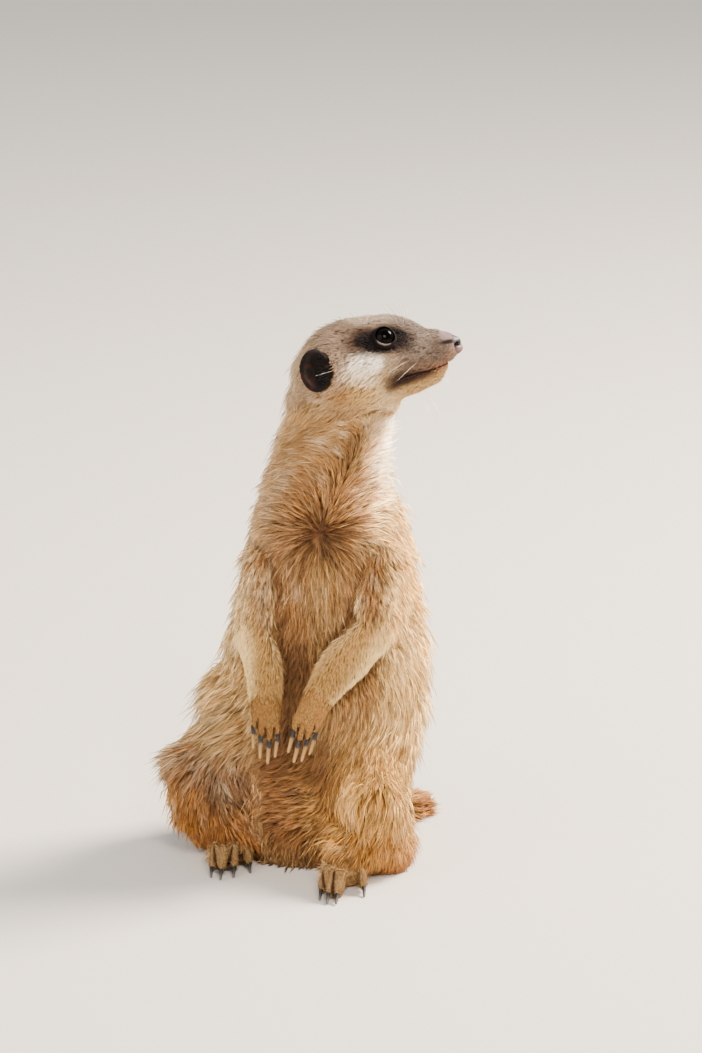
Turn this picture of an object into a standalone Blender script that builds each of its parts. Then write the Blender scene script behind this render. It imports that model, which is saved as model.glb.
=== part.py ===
"""A meerkat sitting upright, life size: one closed solid for each part of its body, out to the tips of the coat.

Lengths are in millimetres until a mesh is made. The chest faces -Y, so +X is the animal's left, +Y its back
and +Z up. The pelvis is turned to the animal's right, and the head to its left, so that its nose points along +X.
The trunk, neck, head and tail are one smooth body, parted by thin cuts; each limb is a smooth body of its own.
"""
import bmesh
import bpy
import numpy as np
from math import cos, pi, radians, sin
from mathutils import Matrix, Vector

MM = 0.001
GAP = 0.3                 # between solids that meet

COAT_FAWN = (0.62, 0.44, 0.27)
COAT_PALE = (0.80, 0.69, 0.53)
HEAD_GREY = (0.66, 0.58, 0.50)
EAR_BLACK = (0.035, 0.025, 0.022)
EYE_BLACK = (0.012, 0.008, 0.007)
NOSE_BROWN = (0.20, 0.13, 0.12)
CLAW_SLATE = (0.16, 0.17, 0.20)


# ---------------------------------------------------------------- sizes and places

# The head: its nose tip, and how it is held. The tables below give places in the head's own frame.
NOSE_TIP = Vector((72.4, 1.0, 256.2))
HEAD_PITCH, HEAD_YAW, HEAD_ROLL = 10.4, 3.0, 10.0   # nose up, nose towards the chest's side, crown away from it

# Behind the nose tip: (back, crown, underside, half width) of the head's sections.
HEAD_SECTIONS = [
    (5, 6.2, -5.4, 5.4),
    (8, 8.2, -9.4, 7.2),
    (12, 10.4, -12.8, 8.8),
    (16, 12.9, -14.8, 10.6),
    (21, 17.2, -16.4, 13.8),
    (27, 20.4, -18.2, 17.6),
    (34, 21.6, -20.5, 21.0),
    (44, 22.0, -22.5, 24.6),
    (55, 21.6, -23.0, 26.6),
    (64, 19.4, -22.0, 26.0),
    (71, 15.4, -19.0, 23.0),
    (76, 9.8, -15.0, 18.0),
]
EYE = (34.6, 15.2, 10.0)
EYE_RADIUS = 5.2
EAR = (67.6, 25.2, 0.6)
EAR_RADII = (8.0, 10.8, 5.0)
NOSE = (4.8, 0.0, 1.0)
NOSE_RADII = (4.4, 5.2, 5.1)
MOUTH = [(2.0, -5.0), (31.8, -9.6), (26.0, -24.0)]   # (back, up): front of the lips, corner, throat

# The trunk and neck, from the seat up to the skull: (x, y, z, half width, half depth, turn) of each section.
TRUNK = [
    (-1, 33, 1, 38, 41, 30),
    (0, 32, 20, 46, 46, 30),
    (2, 29, 45, 49, 45, 28),
    (5, 25, 72, 50, 42, 24),
    (7, 21, 100, 48.5, 38.5, 16),
    (8, 18, 127, 44, 35, 6),
    (8.5, 16, 152, 39.5, 31.5, -4),
    (9, 14, 174, 35.5, 29.5, -18),
    (10, 11.5, 196, 29, 29.5, -42),
    (13.5, 8.5, 215, 24.5, 27, -66),
    (18.5, 6, 233, 22, 27, -84),
    (20, 4, 248, 15, 17, -90),
]
FLANK = ((-30, 30, 50), (30, 34, 50), 24)            # centre, radii, turn: long coat over the right haunch
# The tail lies on the floor and curls round behind the rump; its sections are given as the trunk's are.
TAIL = [
    (2, 56, 14, 17, 15, 150),
    (15, 63, 9.5, 12.5, 11, 120),
    (30, 66, 7, 9.6, 8.6, 100),
    (44, 67, 5.8, 8.2, 7.6, 110),
    (54.5, 73, 5.2, 7.4, 6.8, 170),
    (49, 84, 4.6, 6.8, 6.3, 225),
    (37, 92, 4.1, 6.3, 5.8, 245),
    (22, 98, 3.6, 5.8, 5.4, 255),
    (5, 102, 3.2, 5.3, 5.0, 262),
    (-13, 104, 2.8, 4.8, 4.6, 270),
    (-29, 103, 2.4, 4.3, 4.2, 280),
    (-40, 100, 2.0, 3.2, 3.6, 286),
]
TAIL_CUTS = (3.0, 5.4, 8.2)                            # places along TAIL, counted in stations

# The limbs: the middle of each joint, and what a plain tube through those joints doesn't say.
ARMS = {
    "left": {
        "shoulder": (29, 4, 150), "elbow": (29, -9, 121), "wrist": (5, -31, 93), "knuckles": (-1, -35, 81),
        "forearm": 10.6, "turn": 8, "lean": -0.2,
        "digits": [(-7.2, 78.0), (-4.6, 73.0), (-1.0, 73.6), (2.8, 77.0)],          # (x, z) of each claw's root
    },
    "right": {
        "shoulder": (-15, 6, 150), "elbow": (-22.5, 0, 118), "wrist": (-20.5, -24, 89), "knuckles": (-20.5, -29, 79),
        "forearm": 9.2, "turn": -4, "lean": -0.07,
        "digits": [(-25.6, 78.2), (-22.4, 73.4), (-18.8, 70.8), (-15.4, 74.0)],
    },
}
LEGS = {
    "left": {
        "hip": (18, 22, 42), "knee": (31, -24, 38), "shin": (37, -10, 16), "heel": (40, 15, 9),
        "hem": (22, -24, 16), "turn": 30, "parting": 24,
        "toes": [                                      # (x, y) of each toe's root and tip
            ((8.5, -34), (6.2, -51)), ((13, -36), (9.8, -56.5)), ((18, -36), (14.2, -57.5)), ((24, -32), (25.5, -46)),
        ],
    },
    "right": {
        "hip": (-18, 34, 42), "knee": (-55, 14, 44), "shin": (-49, 18, 20), "heel": (-18, 36, 9),
        "hem": (-39, 9, 16), "turn": 30, "parting": 26,
        "toes": [
            ((-45.5, 0), (-46.5, -17.5)), ((-41, -1.5), (-42, -21)), ((-35.5, -1), (-36, -17)), ((-30, 2), (-29, -10)),
        ],
    },
}
DIGIT_SPACING = 3.3
FORECLAW = (15.5, 1.35)                                # length, radius at the root
HINDCLAW = (9.5, 1.3)


# ---------------------------------------------------------------- curves and rings

def through(values, spans):
    """Catmull-Rom curve through rows of values, with spans samples between each two rows."""
    rows = np.asarray(values, float)
    padded = np.vstack([2 * rows[0] - rows[1], rows, 2 * rows[-1] - rows[-2]])
    share = np.linspace(0, 1, spans, endpoint=False)[:, None]
    pieces = []
    for before, start, end, after in zip(padded, padded[1:], padded[2:], padded[3:]):
        slope_in = (end - before) / 2
        slope_out = (after - start) / 2
        pieces.append(
            (2 * share**3 - 3 * share**2 + 1) * start
            + (share**3 - 2 * share**2 + share) * slope_in
            + (3 * share**2 - 2 * share**3) * end
            + (share**3 - share**2) * slope_out
        )
    return np.vstack(pieces + [rows[-1:]])


def facing(turn):
    """(front, left) directions of a body section turned by so many degrees to the animal's right."""
    angle = radians(turn)
    return Vector((-sin(angle), -cos(angle), 0)), Vector((cos(angle), -sin(angle), 0))


def mesh_object(name, points, faces):
    """A mesh object from points in millimetres."""
    mesh = bpy.data.meshes.new(name)
    mesh.from_pydata([tuple(Vector(point) * MM) for point in points], [], faces)
    mesh.update()
    found = bpy.data.objects.new(name, mesh)
    bpy.context.scene.collection.objects.link(found)
    return found


def ringed(name, rings):
    """A closed tube through rings of points that all run the same way round."""
    sides = len(rings[0])
    points = [point for ring in rings for point in ring]
    faces = [
        (r * sides + k, r * sides + (k + 1) % sides, (r + 1) * sides + (k + 1) % sides, (r + 1) * sides + k)
        for r in range(len(rings) - 1)
        for k in range(sides)
    ]
    faces.append(tuple(reversed(range(sides))))
    faces.append(tuple(range(len(points) - sides, len(points))))
    tube_object = mesh_object(name, points, faces)
    shell = bmesh.new()
    shell.from_mesh(tube_object.data)
    bmesh.ops.recalc_face_normals(shell, faces=shell.faces)
    shell.to_mesh(tube_object.data)
    shell.free()
    return tube_object


def tube(name, stations, spans=4, sides=24, end_steps=3):
    """A closed tube through stations (x, y, z, half width, half depth, turn), with round ends."""
    rows = through(stations, spans)
    ahead = np.gradient(rows[:, :3], axis=0)
    rings = []
    for row, direction in zip(rows, ahead):
        along = Vector(direction).normalized()
        left = facing(row[5])[1]
        across = (left - along * left.dot(along)).normalized()
        depth = along.cross(across)
        centre = Vector(row[:3])
        rings.append([
            centre + across * row[3] * cos(2 * pi * k / sides) + depth * row[4] * sin(2 * pi * k / sides)
            for k in range(sides)
        ])
    return ringed(name, round_ends(rings, end_steps))


def round_ends(rings, steps=3, bulge=1.0):
    """Domes over both ends of a tube, each a smaller ring further out."""
    def dome(ring, neighbour):
        centre = sum(ring, Vector()) / len(ring)
        outward = (centre - sum(neighbour, Vector()) / len(neighbour)).normalized()
        reach = bulge * min((point - centre).length for point in ring)
        added = []
        for step in range(1, steps + 1):
            angle = pi / 2 * step / (steps + 0.35)
            added.append([
                centre + (point - centre) * cos(angle) + outward * reach * sin(angle) for point in ring
            ])
        return added
    return dome(rings[0], rings[1])[::-1] + rings + dome(rings[-1], rings[-2])


def ball(name, centre, radii, turn=0.0, segments=24):
    """An ellipsoid with radii along the section's left, front and up."""
    front, left = facing(turn)
    shape = bmesh.new()
    bmesh.ops.create_uvsphere(shape, u_segments=segments, v_segments=segments // 2, radius=1)
    frame = Matrix((left * radii[0], front * radii[1], Vector((0, 0, radii[2])))).transposed()
    for point in shape.verts:
        point.co = (frame @ point.co + Vector(centre)) * MM
    bmesh.ops.recalc_face_normals(shape, faces=shape.faces)
    mesh = bpy.data.meshes.new(name)
    shape.to_mesh(mesh)
    shape.free()
    found = bpy.data.objects.new(name, mesh)
    bpy.context.scene.collection.objects.link(found)
    return found


# ---------------------------------------------------------------- joining and cutting

def apply_modifiers(shape):
    graph = bpy.context.evaluated_depsgraph_get()
    mesh = bpy.data.meshes.new_from_object(shape.evaluated_get(graph))
    shape.modifiers.clear()
    shape.data = mesh


def joined(name, shapes):
    """One object that holds the faces of all the shapes, which are removed."""
    whole = bmesh.new()
    for shape in shapes:
        whole.from_mesh(shape.data)
        bpy.data.objects.remove(shape)
    mesh = bpy.data.meshes.new(name)
    whole.to_mesh(mesh)
    whole.free()
    found = bpy.data.objects.new(name, mesh)
    bpy.context.scene.collection.objects.link(found)
    return found


def fused(name, shapes, voxel, rounds, triangles):
    """Shapes that overlap made one smooth closed body, with about that many triangles."""
    body = joined(name, shapes)
    remesh = body.modifiers.new("skin", "REMESH")
    remesh.mode = "VOXEL"
    remesh.voxel_size = voxel * MM
    smooth = body.modifiers.new("soften", "SMOOTH")
    smooth.factor = 0.5
    smooth.iterations = rounds
    apply_modifiers(body)
    thin = body.modifiers.new("thin", "DECIMATE")
    thin.ratio = triangles / (2 * len(body.data.polygons))
    apply_modifiers(body)
    return body


def subtract(shape, cutter, keep_cutter=True):
    cut = shape.modifiers.new("cut", "BOOLEAN")
    cut.operation = "DIFFERENCE"
    cut.object = cutter
    apply_modifiers(shape)
    if not keep_cutter:
        bpy.data.objects.remove(cutter)


def grown(shape, by=GAP):
    """A copy of a shape, larger by so many millimetres all round."""
    copy = bpy.data.objects.new("cutter", shape.data.copy())
    bpy.context.scene.collection.objects.link(copy)
    normals = [vertex.normal.copy() for vertex in copy.data.vertices]
    for vertex, normal in zip(copy.data.vertices, normals):
        vertex.co += normal * by * MM
    return copy


def islands(mesh_data):
    """The separate bodies of a mesh, as sets of vertex numbers."""
    links = {vertex.index: [] for vertex in mesh_data.vertices}
    for edge in mesh_data.edges:
        first, second = edge.vertices
        links[first].append(second)
        links[second].append(first)
    unseen, found = set(links), []
    while unseen:
        todo = [unseen.pop()]
        group = set(todo)
        while todo:
            for neighbour in links[todo.pop()]:
                if neighbour in unseen:
                    unseen.discard(neighbour)
                    group.add(neighbour)
                    todo.append(neighbour)
        found.append(group)
    return found


def only(shape, group):
    """Leaves only the vertices of one body in a shape."""
    body = bmesh.new()
    body.from_mesh(shape.data)
    bmesh.ops.delete(body, geom=[v for v in body.verts if v.index not in group], context="VERTS")
    body.to_mesh(shape.data)
    body.free()


def keep_largest(shape):
    """Drops the crumbs that a cut leaves."""
    groups = islands(shape.data)
    if len(groups) > 1:
        only(shape, max(groups, key=len))


def cut_clear(shape, neighbours):
    """Takes the neighbours, a gap larger, out of a shape."""
    for neighbour in neighbours:
        subtract(shape, grown(neighbour), keep_cutter=False)
    keep_largest(shape)


def thin_cut(shape, centre, normal, reach):
    """Parts a shape by a disc as thick as the gap."""
    disc = bmesh.new()
    bmesh.ops.create_cone(
        disc, segments=32, cap_ends=True, radius1=reach * MM, radius2=reach * MM, depth=GAP * MM
    )
    mesh = bpy.data.meshes.new("disc")
    turn = Vector((0, 0, 1)).rotation_difference(Vector(normal)).to_matrix().to_4x4()
    disc.transform(Matrix.Translation(Vector(centre) * MM) @ turn)
    disc.to_mesh(mesh)
    disc.free()
    cutter = bpy.data.objects.new("disc", mesh)
    bpy.context.scene.collection.objects.link(cutter)
    subtract(shape, cutter, keep_cutter=False)


def parted(shape, anchors):
    """Splits a cut shape into its bodies. Each is named after the anchor point that lies nearest its middle."""
    groups = sorted(islands(shape.data), key=len, reverse=True)[: len(anchors)]
    found = {}
    for group in groups:
        middle = sum((shape.data.vertices[i].co for i in group), Vector()) / len(group) / MM
        name = min(anchors, key=lambda key: (Vector(anchors[key]) - middle).length)
        piece = bpy.data.objects.new(name, shape.data.copy())
        bpy.context.scene.collection.objects.link(piece)
        only(piece, group)
        found[name] = piece
    bpy.data.objects.remove(shape)
    return found


def flatten_foot(shape):
    """Cuts a flat underside at floor level."""
    body = bmesh.new()
    body.from_mesh(shape.data)
    everything = list(body.verts) + list(body.edges) + list(body.faces)
    cut = bmesh.ops.bisect_plane(
        body, geom=everything, dist=1e-7, plane_co=(0, 0, 0), plane_no=(0, 0, 1), clear_inner=True
    )
    rim = [edge for edge in cut["geom_cut"] if isinstance(edge, bmesh.types.BMEdge)]
    bmesh.ops.holes_fill(body, edges=rim, sides=0)
    bmesh.ops.triangulate(body, faces=body.faces)
    body.to_mesh(shape.data)
    body.free()


# ---------------------------------------------------------------- the head's own frame

level_forward = Vector((cos(radians(HEAD_YAW)), -sin(radians(HEAD_YAW)), 0))
FORWARD = level_forward * cos(radians(HEAD_PITCH)) + Vector((0, 0, sin(radians(HEAD_PITCH))))
level_left = Vector((0, 0, 1)).cross(level_forward)
upright = FORWARD.cross(level_left)
UP = upright * cos(radians(HEAD_ROLL)) + level_left * sin(radians(HEAD_ROLL))
LEFT = UP.cross(FORWARD)


def in_head(back, left, up):
    """A point of the head, from its distances behind the nose tip, to the left and up."""
    return NOSE_TIP - FORWARD * back + LEFT * left + UP * up


def head_shell():
    rings = []
    for back, crown, underside, half_width in through(HEAD_SECTIONS, 3):
        middle, half_height = (crown + underside) / 2, (crown - underside) / 2
        rings.append([
            in_head(back, half_width * cos(2 * pi * k / 28), middle + half_height * sin(2 * pi * k / 28))
            for k in range(28)
        ])
    return ringed("head", round_ends(rings, bulge=0.45))


# ---------------------------------------------------------------- trunk, neck and tail

def core_body():
    shapes = [tube("trunk", TRUNK), ball("flank", *FLANK), head_shell(), tube("tail", TAIL, spans=5, sides=16)]
    core = fused("core", shapes, voxel=1.7, rounds=8, triangles=2500)
    flatten_foot(core)
    return core


def bent_cut(shape, path, half_length):
    """Parts a shape along a bent line of the head's profile, given as (back, up) points."""
    line = np.array(path, float)
    runs = np.diff(line, axis=0)
    sides = np.column_stack([-runs[:, 1], runs[:, 0]]) / np.linalg.norm(runs, axis=1)[:, None]
    sides = np.vstack([sides[:1], sides, sides[-1:]])
    rings = []
    for point, before, after in zip(line, sides, sides[1:]):
        offset = (before + after) / (1 + before @ after) * GAP / 2
        near, far = point + offset, point - offset
        rings.append([
            in_head(near[0], -half_length, near[1]), in_head(near[0], half_length, near[1]),
            in_head(far[0], half_length, far[1]), in_head(far[0], -half_length, far[1]),
        ])
    subtract(shape, ringed("mouth", rings), keep_cutter=False)


def core_parts(core):
    """Cuts the core into head, lower jaw, neck, chest, abdomen and three lengths of tail."""
    bent_cut(core, MOUTH, 30)
    thin_cut(core, in_head(60, 0, -18.5), UP * 0.96 + FORWARD * 0.28, 46)
    thin_cut(core, (9, 12, 196), (0.1, 0, 1), 50)
    thin_cut(core, (6, 20, 112), (0, 0, 1), 66)
    path = through([row[:3] for row in TAIL], 10)
    for place in TAIL_CUTS:
        here = int(place * 10)
        thin_cut(core, path[here], path[here + 1] - path[here - 1], 22 if here < 20 else 13)
    return parted(core, {
        "head": in_head(45, 0, 2), "lower_jaw": in_head(24, 0, -14), "neck": (13, 9, 215),
        "chest": (8, 16, 152), "abdomen": (3, 26, 60), "tail_base": (52, 74, 5),
        "tail_mid": (26, 96, 4), "tail_tip": (-14, 104, 3),
    })


# ---------------------------------------------------------------- limbs

def station(point, half_width, half_depth, turn):
    return (*point, half_width, half_depth, turn)


def between(first, second, share):
    return tuple(Vector(first).lerp(Vector(second), share))


def arm_body(side):
    """Upper arm, forearm and hand with four digits that hang down, and where its claws start."""
    arm = ARMS[side]
    turn = arm["turn"]
    shapes = [tube("arm", [
        station(arm["shoulder"], 16, 15, turn),
        station(between(arm["shoulder"], arm["elbow"], 0.5), 14, 14, turn),
        station(arm["elbow"], 11.5, 12, turn),
        station(between(arm["elbow"], arm["wrist"], 0.5), arm["forearm"], 8.8, turn),
        station(arm["wrist"], 8.0, 6.6, turn),
    ])]
    wrist, knuckles = Vector(arm["wrist"]), Vector(arm["knuckles"])
    shapes.append(tube("palm", [
        station(wrist.lerp(knuckles, -0.2), 7.4, 6.2, turn),
        station(wrist.lerp(knuckles, 0.5), 7.8, 5.4, turn),
        station(knuckles, 7.2, 4.2, turn),
    ]))
    across = facing(turn)[1]
    tips = []
    for place, (x, z) in zip((-1.5, -0.5, 0.5, 1.5), arm["digits"]):
        root = knuckles + across * place * DIGIT_SPACING + Vector((0, 0, 3))
        tip = Vector((x, knuckles.y - 0.5, z))
        middle = root.lerp(tip, 0.6) - Vector((0, 0.9, 0))
        shapes.append(tube("digit", [
            station(root, 2.2, 2.6, turn), station(middle, 1.9, 2.4, turn), station(tip, 1.7, 1.9, turn),
        ], sides=12))
        tips.append((tip, Vector((arm["lean"], 0.12, -1)), Vector((0, 1, 0))))
    return fused(f"arm_{side}", shapes, voxel=0.7, rounds=3, triangles=640), tips


def arm_parts(limb, side):
    arm = ARMS[side]
    shoulder, elbow, wrist, knuckles = (Vector(arm[key]) for key in ("shoulder", "elbow", "wrist", "knuckles"))
    thin_cut(limb, elbow, (elbow - shoulder).normalized() + (wrist - elbow).normalized(), 24)
    thin_cut(limb, wrist, (knuckles - elbow).normalized(), 13)
    return parted(limb, {
        f"upper_arm_{side}": shoulder.lerp(elbow, 0.5), f"forearm_{side}": elbow.lerp(wrist, 0.5),
        f"forepaw_{side}": knuckles,
    })


def leg_body(side):
    """Thigh and shank, folded and covered by long coat."""
    leg = LEGS[side]
    turn = leg["turn"]
    thigh = tube("thigh", [
        station(leg["hip"], 28, 30, turn),
        station(between(leg["hip"], leg["knee"], 0.5), 24, 26, turn),
        station(leg["knee"], 16, 17, turn),
    ])
    shank = tube("shank", [
        station(leg["knee"], 15, 15, turn), station(leg["shin"], 16, 17, turn), station(leg["heel"], 11, 10, turn),
    ])
    hem = ball("hem", leg["hem"], (15, 14, 13), turn)
    limb = fused(f"leg_{side}", [thigh, shank, hem], voxel=1.8, rounds=8, triangles=560)
    flatten_foot(limb)
    return limb


def leg_parts(limb, side):
    leg = LEGS[side]
    knee = Vector(leg["knee"])
    thin_cut(limb, (knee.x, knee.y, leg["parting"]), (0, 0, 1), 80)
    return parted(limb, {f"thigh_{side}": knee, f"shank_{side}": (knee.x, knee.y, 8)})


def foot_body(side):
    """Sole flat on the floor, with four toes, and where its claws start."""
    leg = LEGS[side]
    toes = [(Vector((*root, 5.2)), Vector((*tip, 3.0))) for root, tip in leg["toes"]]
    heel = Vector((*leg["heel"][:2], 6.0))
    ball_of_foot = sum((root for root, _ in toes), Vector()) / len(toes)
    turn = leg["turn"]
    shapes = [tube("sole", [
        station(heel, 7.0, 7.2, turn),
        station(heel.lerp(ball_of_foot, 0.5), 7.6, 7.0, turn),
        station(ball_of_foot, 9.0, 6.4, turn),
    ])]
    tips = []
    for root, tip in toes:
        ahead = (tip - root).normalized()
        middle = root.lerp(tip, 0.6)
        middle.z = 5.4
        shapes.append(tube("toe", [
            station(root - ahead * 3, 2.9, 4.2, turn), station(middle, 2.3, 3.5, turn),
            station(tip, 2.0, 2.9, turn),
        ], sides=12))
        tips.append((tip + Vector((0, 0, 1.2)), ahead - Vector((0, 0, 0.12)), Vector((0, 0, -1))))
    whole = fused(f"hind_foot_{side}", shapes, voxel=0.75, rounds=2, triangles=430)
    flatten_foot(whole)
    return whole, tips


def claw(name, root, direction, curl, length, thickness):
    """A tapered claw that curls, from just inside the digit's tip."""
    direction = Vector(direction).normalized()
    curl = Vector(curl)
    curl = (curl - direction * curl.dot(direction)).normalized()
    stations = []
    for share in (0.0, 0.4, 0.75, 1.0):
        point = Vector(root) + direction * (length * share - 2.0) + curl * 0.16 * length * share**2
        radius = thickness * (1 - 0.55 * share**2)
        stations.append(station(point, radius * 0.85, radius, 0))
    return tube(name, stations, spans=1, sides=5, end_steps=1)


# ---------------------------------------------------------------- ears, eyes and nose

def head_ball(name, centre, radii, axes=None, segments=20):
    """An ellipsoid at a point of the head, with radii along forward, left and up or along other axes."""
    middle = in_head(*centre)
    axes = axes or (FORWARD, LEFT, UP)
    shape = ball(name, (0, 0, 0), (1, 1, 1), segments=segments)
    for vertex in shape.data.vertices:
        local = vertex.co / MM
        vertex.co = (middle + sum((axis * local[n] * radii[n] for n, axis in enumerate(axes)), Vector())) * MM
    body = bmesh.new()
    body.from_mesh(shape.data)
    bmesh.ops.recalc_face_normals(body, faces=body.faces)
    body.to_mesh(shape.data)
    body.free()
    return shape


def ear_body(side, sign):
    """A small round ear, cupped towards the front."""
    outward = (LEFT * sign * 0.93 + FORWARD * 0.36).normalized()
    axes = (UP.cross(outward).normalized(), UP, outward)
    shell = head_ball(f"ear_{side}", (EAR[0], sign * EAR[1], EAR[2]), EAR_RADII, axes, 12)
    cup = head_ball("cup", (EAR[0] - 1.2, sign * (EAR[1] + 3.4), EAR[2]), (6.0, 8.8, 4.6), axes, 12)
    subtract(shell, cup, keep_cutter=False)
    return shell


# ---------------------------------------------------------------- the whole animal

def coloured(shape, name, colour, roughness):
    material = bpy.data.materials.new(f"{name} surface")
    material.use_nodes = True
    shader = material.node_tree.nodes["Principled BSDF"]
    shader.inputs["Base Color"].default_value = (*colour, 1)
    shader.inputs["Roughness"].default_value = roughness
    shape.name = name
    shape.data.name = name
    shape.data.materials.clear()
    shape.data.materials.append(material)
    shape.data.polygons.foreach_set("material_index", [0] * len(shape.data.polygons))
    shape.data.shade_smooth()


def colour_of(name):
    if name.startswith("claw"):
        return CLAW_SLATE, 0.35
    if name.startswith("eye"):
        return EYE_BLACK, 0.1
    if name.startswith("ear") or name == "tail_tip":
        return EAR_BLACK, 0.9
    if name == "nose":
        return NOSE_BROWN, 0.5
    if name in ("head", "lower_jaw"):
        return HEAD_GREY, 0.95
    pale = name in ("neck",) or name.startswith(("hind_foot", "forepaw"))
    return (COAT_PALE if pale else COAT_FAWN), 0.95


def centred(nodes):
    """Moves everything so that the middle of the underside of the whole is the origin."""
    corners = np.array([vertex.co for shape in nodes.values() for vertex in shape.data.vertices])
    low, high = corners.min(axis=0), corners.max(axis=0)
    shift = Matrix.Translation(-Vector(((low[0] + high[0]) / 2, (low[1] + high[1]) / 2, low[2])))
    for shape in nodes.values():
        shape.data.transform(shift)


def main():
    for leftover in list(bpy.data.objects):
        bpy.data.objects.remove(leftover)
    nodes = {}
    core = core_body()
    for side in ("left", "right"):
        arm, tips = arm_body(side)
        cut_clear(arm, [core])
        leg = leg_body(side)
        cut_clear(leg, [core])
        foot, toe_tips = foot_body(side)
        cut_clear(foot, [core, leg])
        for stem, tip_list, sizes, paw in (
            (f"claw_fore_{side}", tips, FORECLAW, arm), (f"claw_hind_{side}", toe_tips, HINDCLAW, foot)
        ):
            for number, (root, direction, curl) in enumerate(tip_list, 1):
                name = f"{stem}_{number}"
                nodes[name] = claw(name, root, direction, curl, *sizes)
                cut_clear(nodes[name], [paw])
                flatten_foot(nodes[name])
        nodes.update(arm_parts(arm, side))
        nodes.update(leg_parts(leg, side))
        nodes[f"hind_foot_{side}"] = foot
    for side, sign in (("left", 1), ("right", -1)):
        eye = head_ball(f"eye_{side}", (EYE[0], sign * EYE[1], EYE[2]), (EYE_RADIUS,) * 3, segments=12)
        ear = ear_body(side, sign)
        cut_clear(ear, [core])
        subtract(core, grown(eye), keep_cutter=False)
        nodes.update({f"eye_{side}": eye, f"ear_{side}": ear})
    nodes["nose"] = head_ball("nose", NOSE, NOSE_RADII, segments=12)
    subtract(core, grown(nodes["nose"]), keep_cutter=False)
    nodes.update(core_parts(core))
    for name, shape in nodes.items():
        coloured(shape, name, *colour_of(name))
    centred(nodes)


main()
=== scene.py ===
# %% [markdown]
# # A meerkat that sits upright
#
# The real animal is about 27 cm tall as it sits, a slim trunk under a coat of coarse guard hair, with a
# short-haired head, bare claws and glossy eyes. The solids of the part already give the outline out to the
# tips of the coat. This lesson dresses them: one skin that lies inside the solids by the depth of the coat,
# then eyes, nose and claws, and at last the coat itself, thousands of small tufts that follow the lie of
# the hair.
#
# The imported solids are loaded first. Everything else is placed by asking them where they are.

# %% Load the fixed frame
from math import cos, pi, radians, sin

import bpy
import bmesh
import numpy as np
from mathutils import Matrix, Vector, noise
from mathutils.bvhtree import BVHTree


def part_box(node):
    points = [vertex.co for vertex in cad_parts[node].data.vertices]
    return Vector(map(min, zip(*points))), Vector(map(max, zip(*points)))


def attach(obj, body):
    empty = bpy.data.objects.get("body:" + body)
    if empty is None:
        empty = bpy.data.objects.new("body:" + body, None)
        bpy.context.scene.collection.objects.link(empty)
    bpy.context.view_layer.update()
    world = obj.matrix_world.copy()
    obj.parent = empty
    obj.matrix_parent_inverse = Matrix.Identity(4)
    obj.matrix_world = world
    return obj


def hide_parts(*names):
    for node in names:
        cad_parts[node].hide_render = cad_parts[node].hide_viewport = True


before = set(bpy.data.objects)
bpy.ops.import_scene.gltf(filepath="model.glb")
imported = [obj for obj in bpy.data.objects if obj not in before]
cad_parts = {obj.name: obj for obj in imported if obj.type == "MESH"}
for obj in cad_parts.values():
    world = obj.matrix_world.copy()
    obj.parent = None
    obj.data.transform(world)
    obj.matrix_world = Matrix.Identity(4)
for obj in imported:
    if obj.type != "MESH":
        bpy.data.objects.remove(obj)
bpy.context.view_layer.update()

MM = 0.001


# %% [markdown]
# ## Directions and places
#
# The head is turned to the animal's left, nose slightly up and crown leaning away from the chest. A small
# set of axes of its own makes the face easy to describe: so many millimetres behind the nose tip, to the
# left, and up. Places on the body are fractions of a solid's box, so they move with the solids.

# %% The head's own axes
HEAD_PITCH, HEAD_YAW, HEAD_ROLL = radians(10.4), radians(3.0), radians(10.0)
level = np.array([cos(HEAD_YAW), -sin(HEAD_YAW), 0])
AHEAD = level * cos(HEAD_PITCH) + np.array([0, 0, sin(HEAD_PITCH)])
side = np.cross([0, 0, 1], level)
CROWN = np.cross(AHEAD, side) * cos(HEAD_ROLL) + side * sin(HEAD_ROLL)
LEFT = np.cross(CROWN, AHEAD)


def middle_of(node):
    low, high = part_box(node)
    return np.array((low + high) / 2) / MM


NOSE_MIDDLE = middle_of("nose")
NOSE_TIP = NOSE_MIDDLE + AHEAD * 4.8 - CROWN * 1.0


def in_head(points):
    """(behind the nose tip, left, up) of body points, all in millimetres."""
    away = np.atleast_2d(points) - NOSE_TIP
    return np.column_stack([-away @ AHEAD, away @ LEFT, away @ CROWN])


def from_head(back, left, up):
    return NOSE_TIP - AHEAD * back + LEFT * left + CROWN * up


def at(node, across, deep, high):
    """A point of the body, as fractions of a solid's box."""
    low, up = (np.array(corner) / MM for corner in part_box(node))
    return low + (up - low) * np.array([across, deep, high])


EYE_MIDDLES = {side_name: middle_of(f"eye_{side_name}") for side_name in ("left", "right")}
print("nose tip", NOSE_TIP.round(1), "eyes", {k: in_head(v)[0].round(1) for k, v in EYE_MIDDLES.items()})

# %% [markdown]
# ## One skin
#
# The solids are faceted and parted by thin cuts. A real skin is one sheet, so copies of the solids of flesh
# are swollen by a quarter of a millimetre to close the cuts, made one mesh by a voxel remesh, and smoothed.
# The ears are thin cups and come in as shapes of their own, finer than the solids. Then the skin is drawn
# inwards by the depth that the coat has there: a lot on the trunk, next to nothing on the muzzle, hands and
# feet.

# %% Small mesh helpers
def smoothstep(low, high, value):
    share = np.clip((value - low) / (high - low), 0, 1)
    return share * share * (3 - 2 * share)


def within(low, high, value, blur):
    """1 between two limits, with edges so many millimetres soft."""
    return smoothstep(low - blur, low + blur, value) * (1 - smoothstep(high - blur, high + blur, value))


def unit(vectors):
    return vectors / np.maximum(np.linalg.norm(vectors, axis=-1, keepdims=True), 1e-9)


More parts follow.
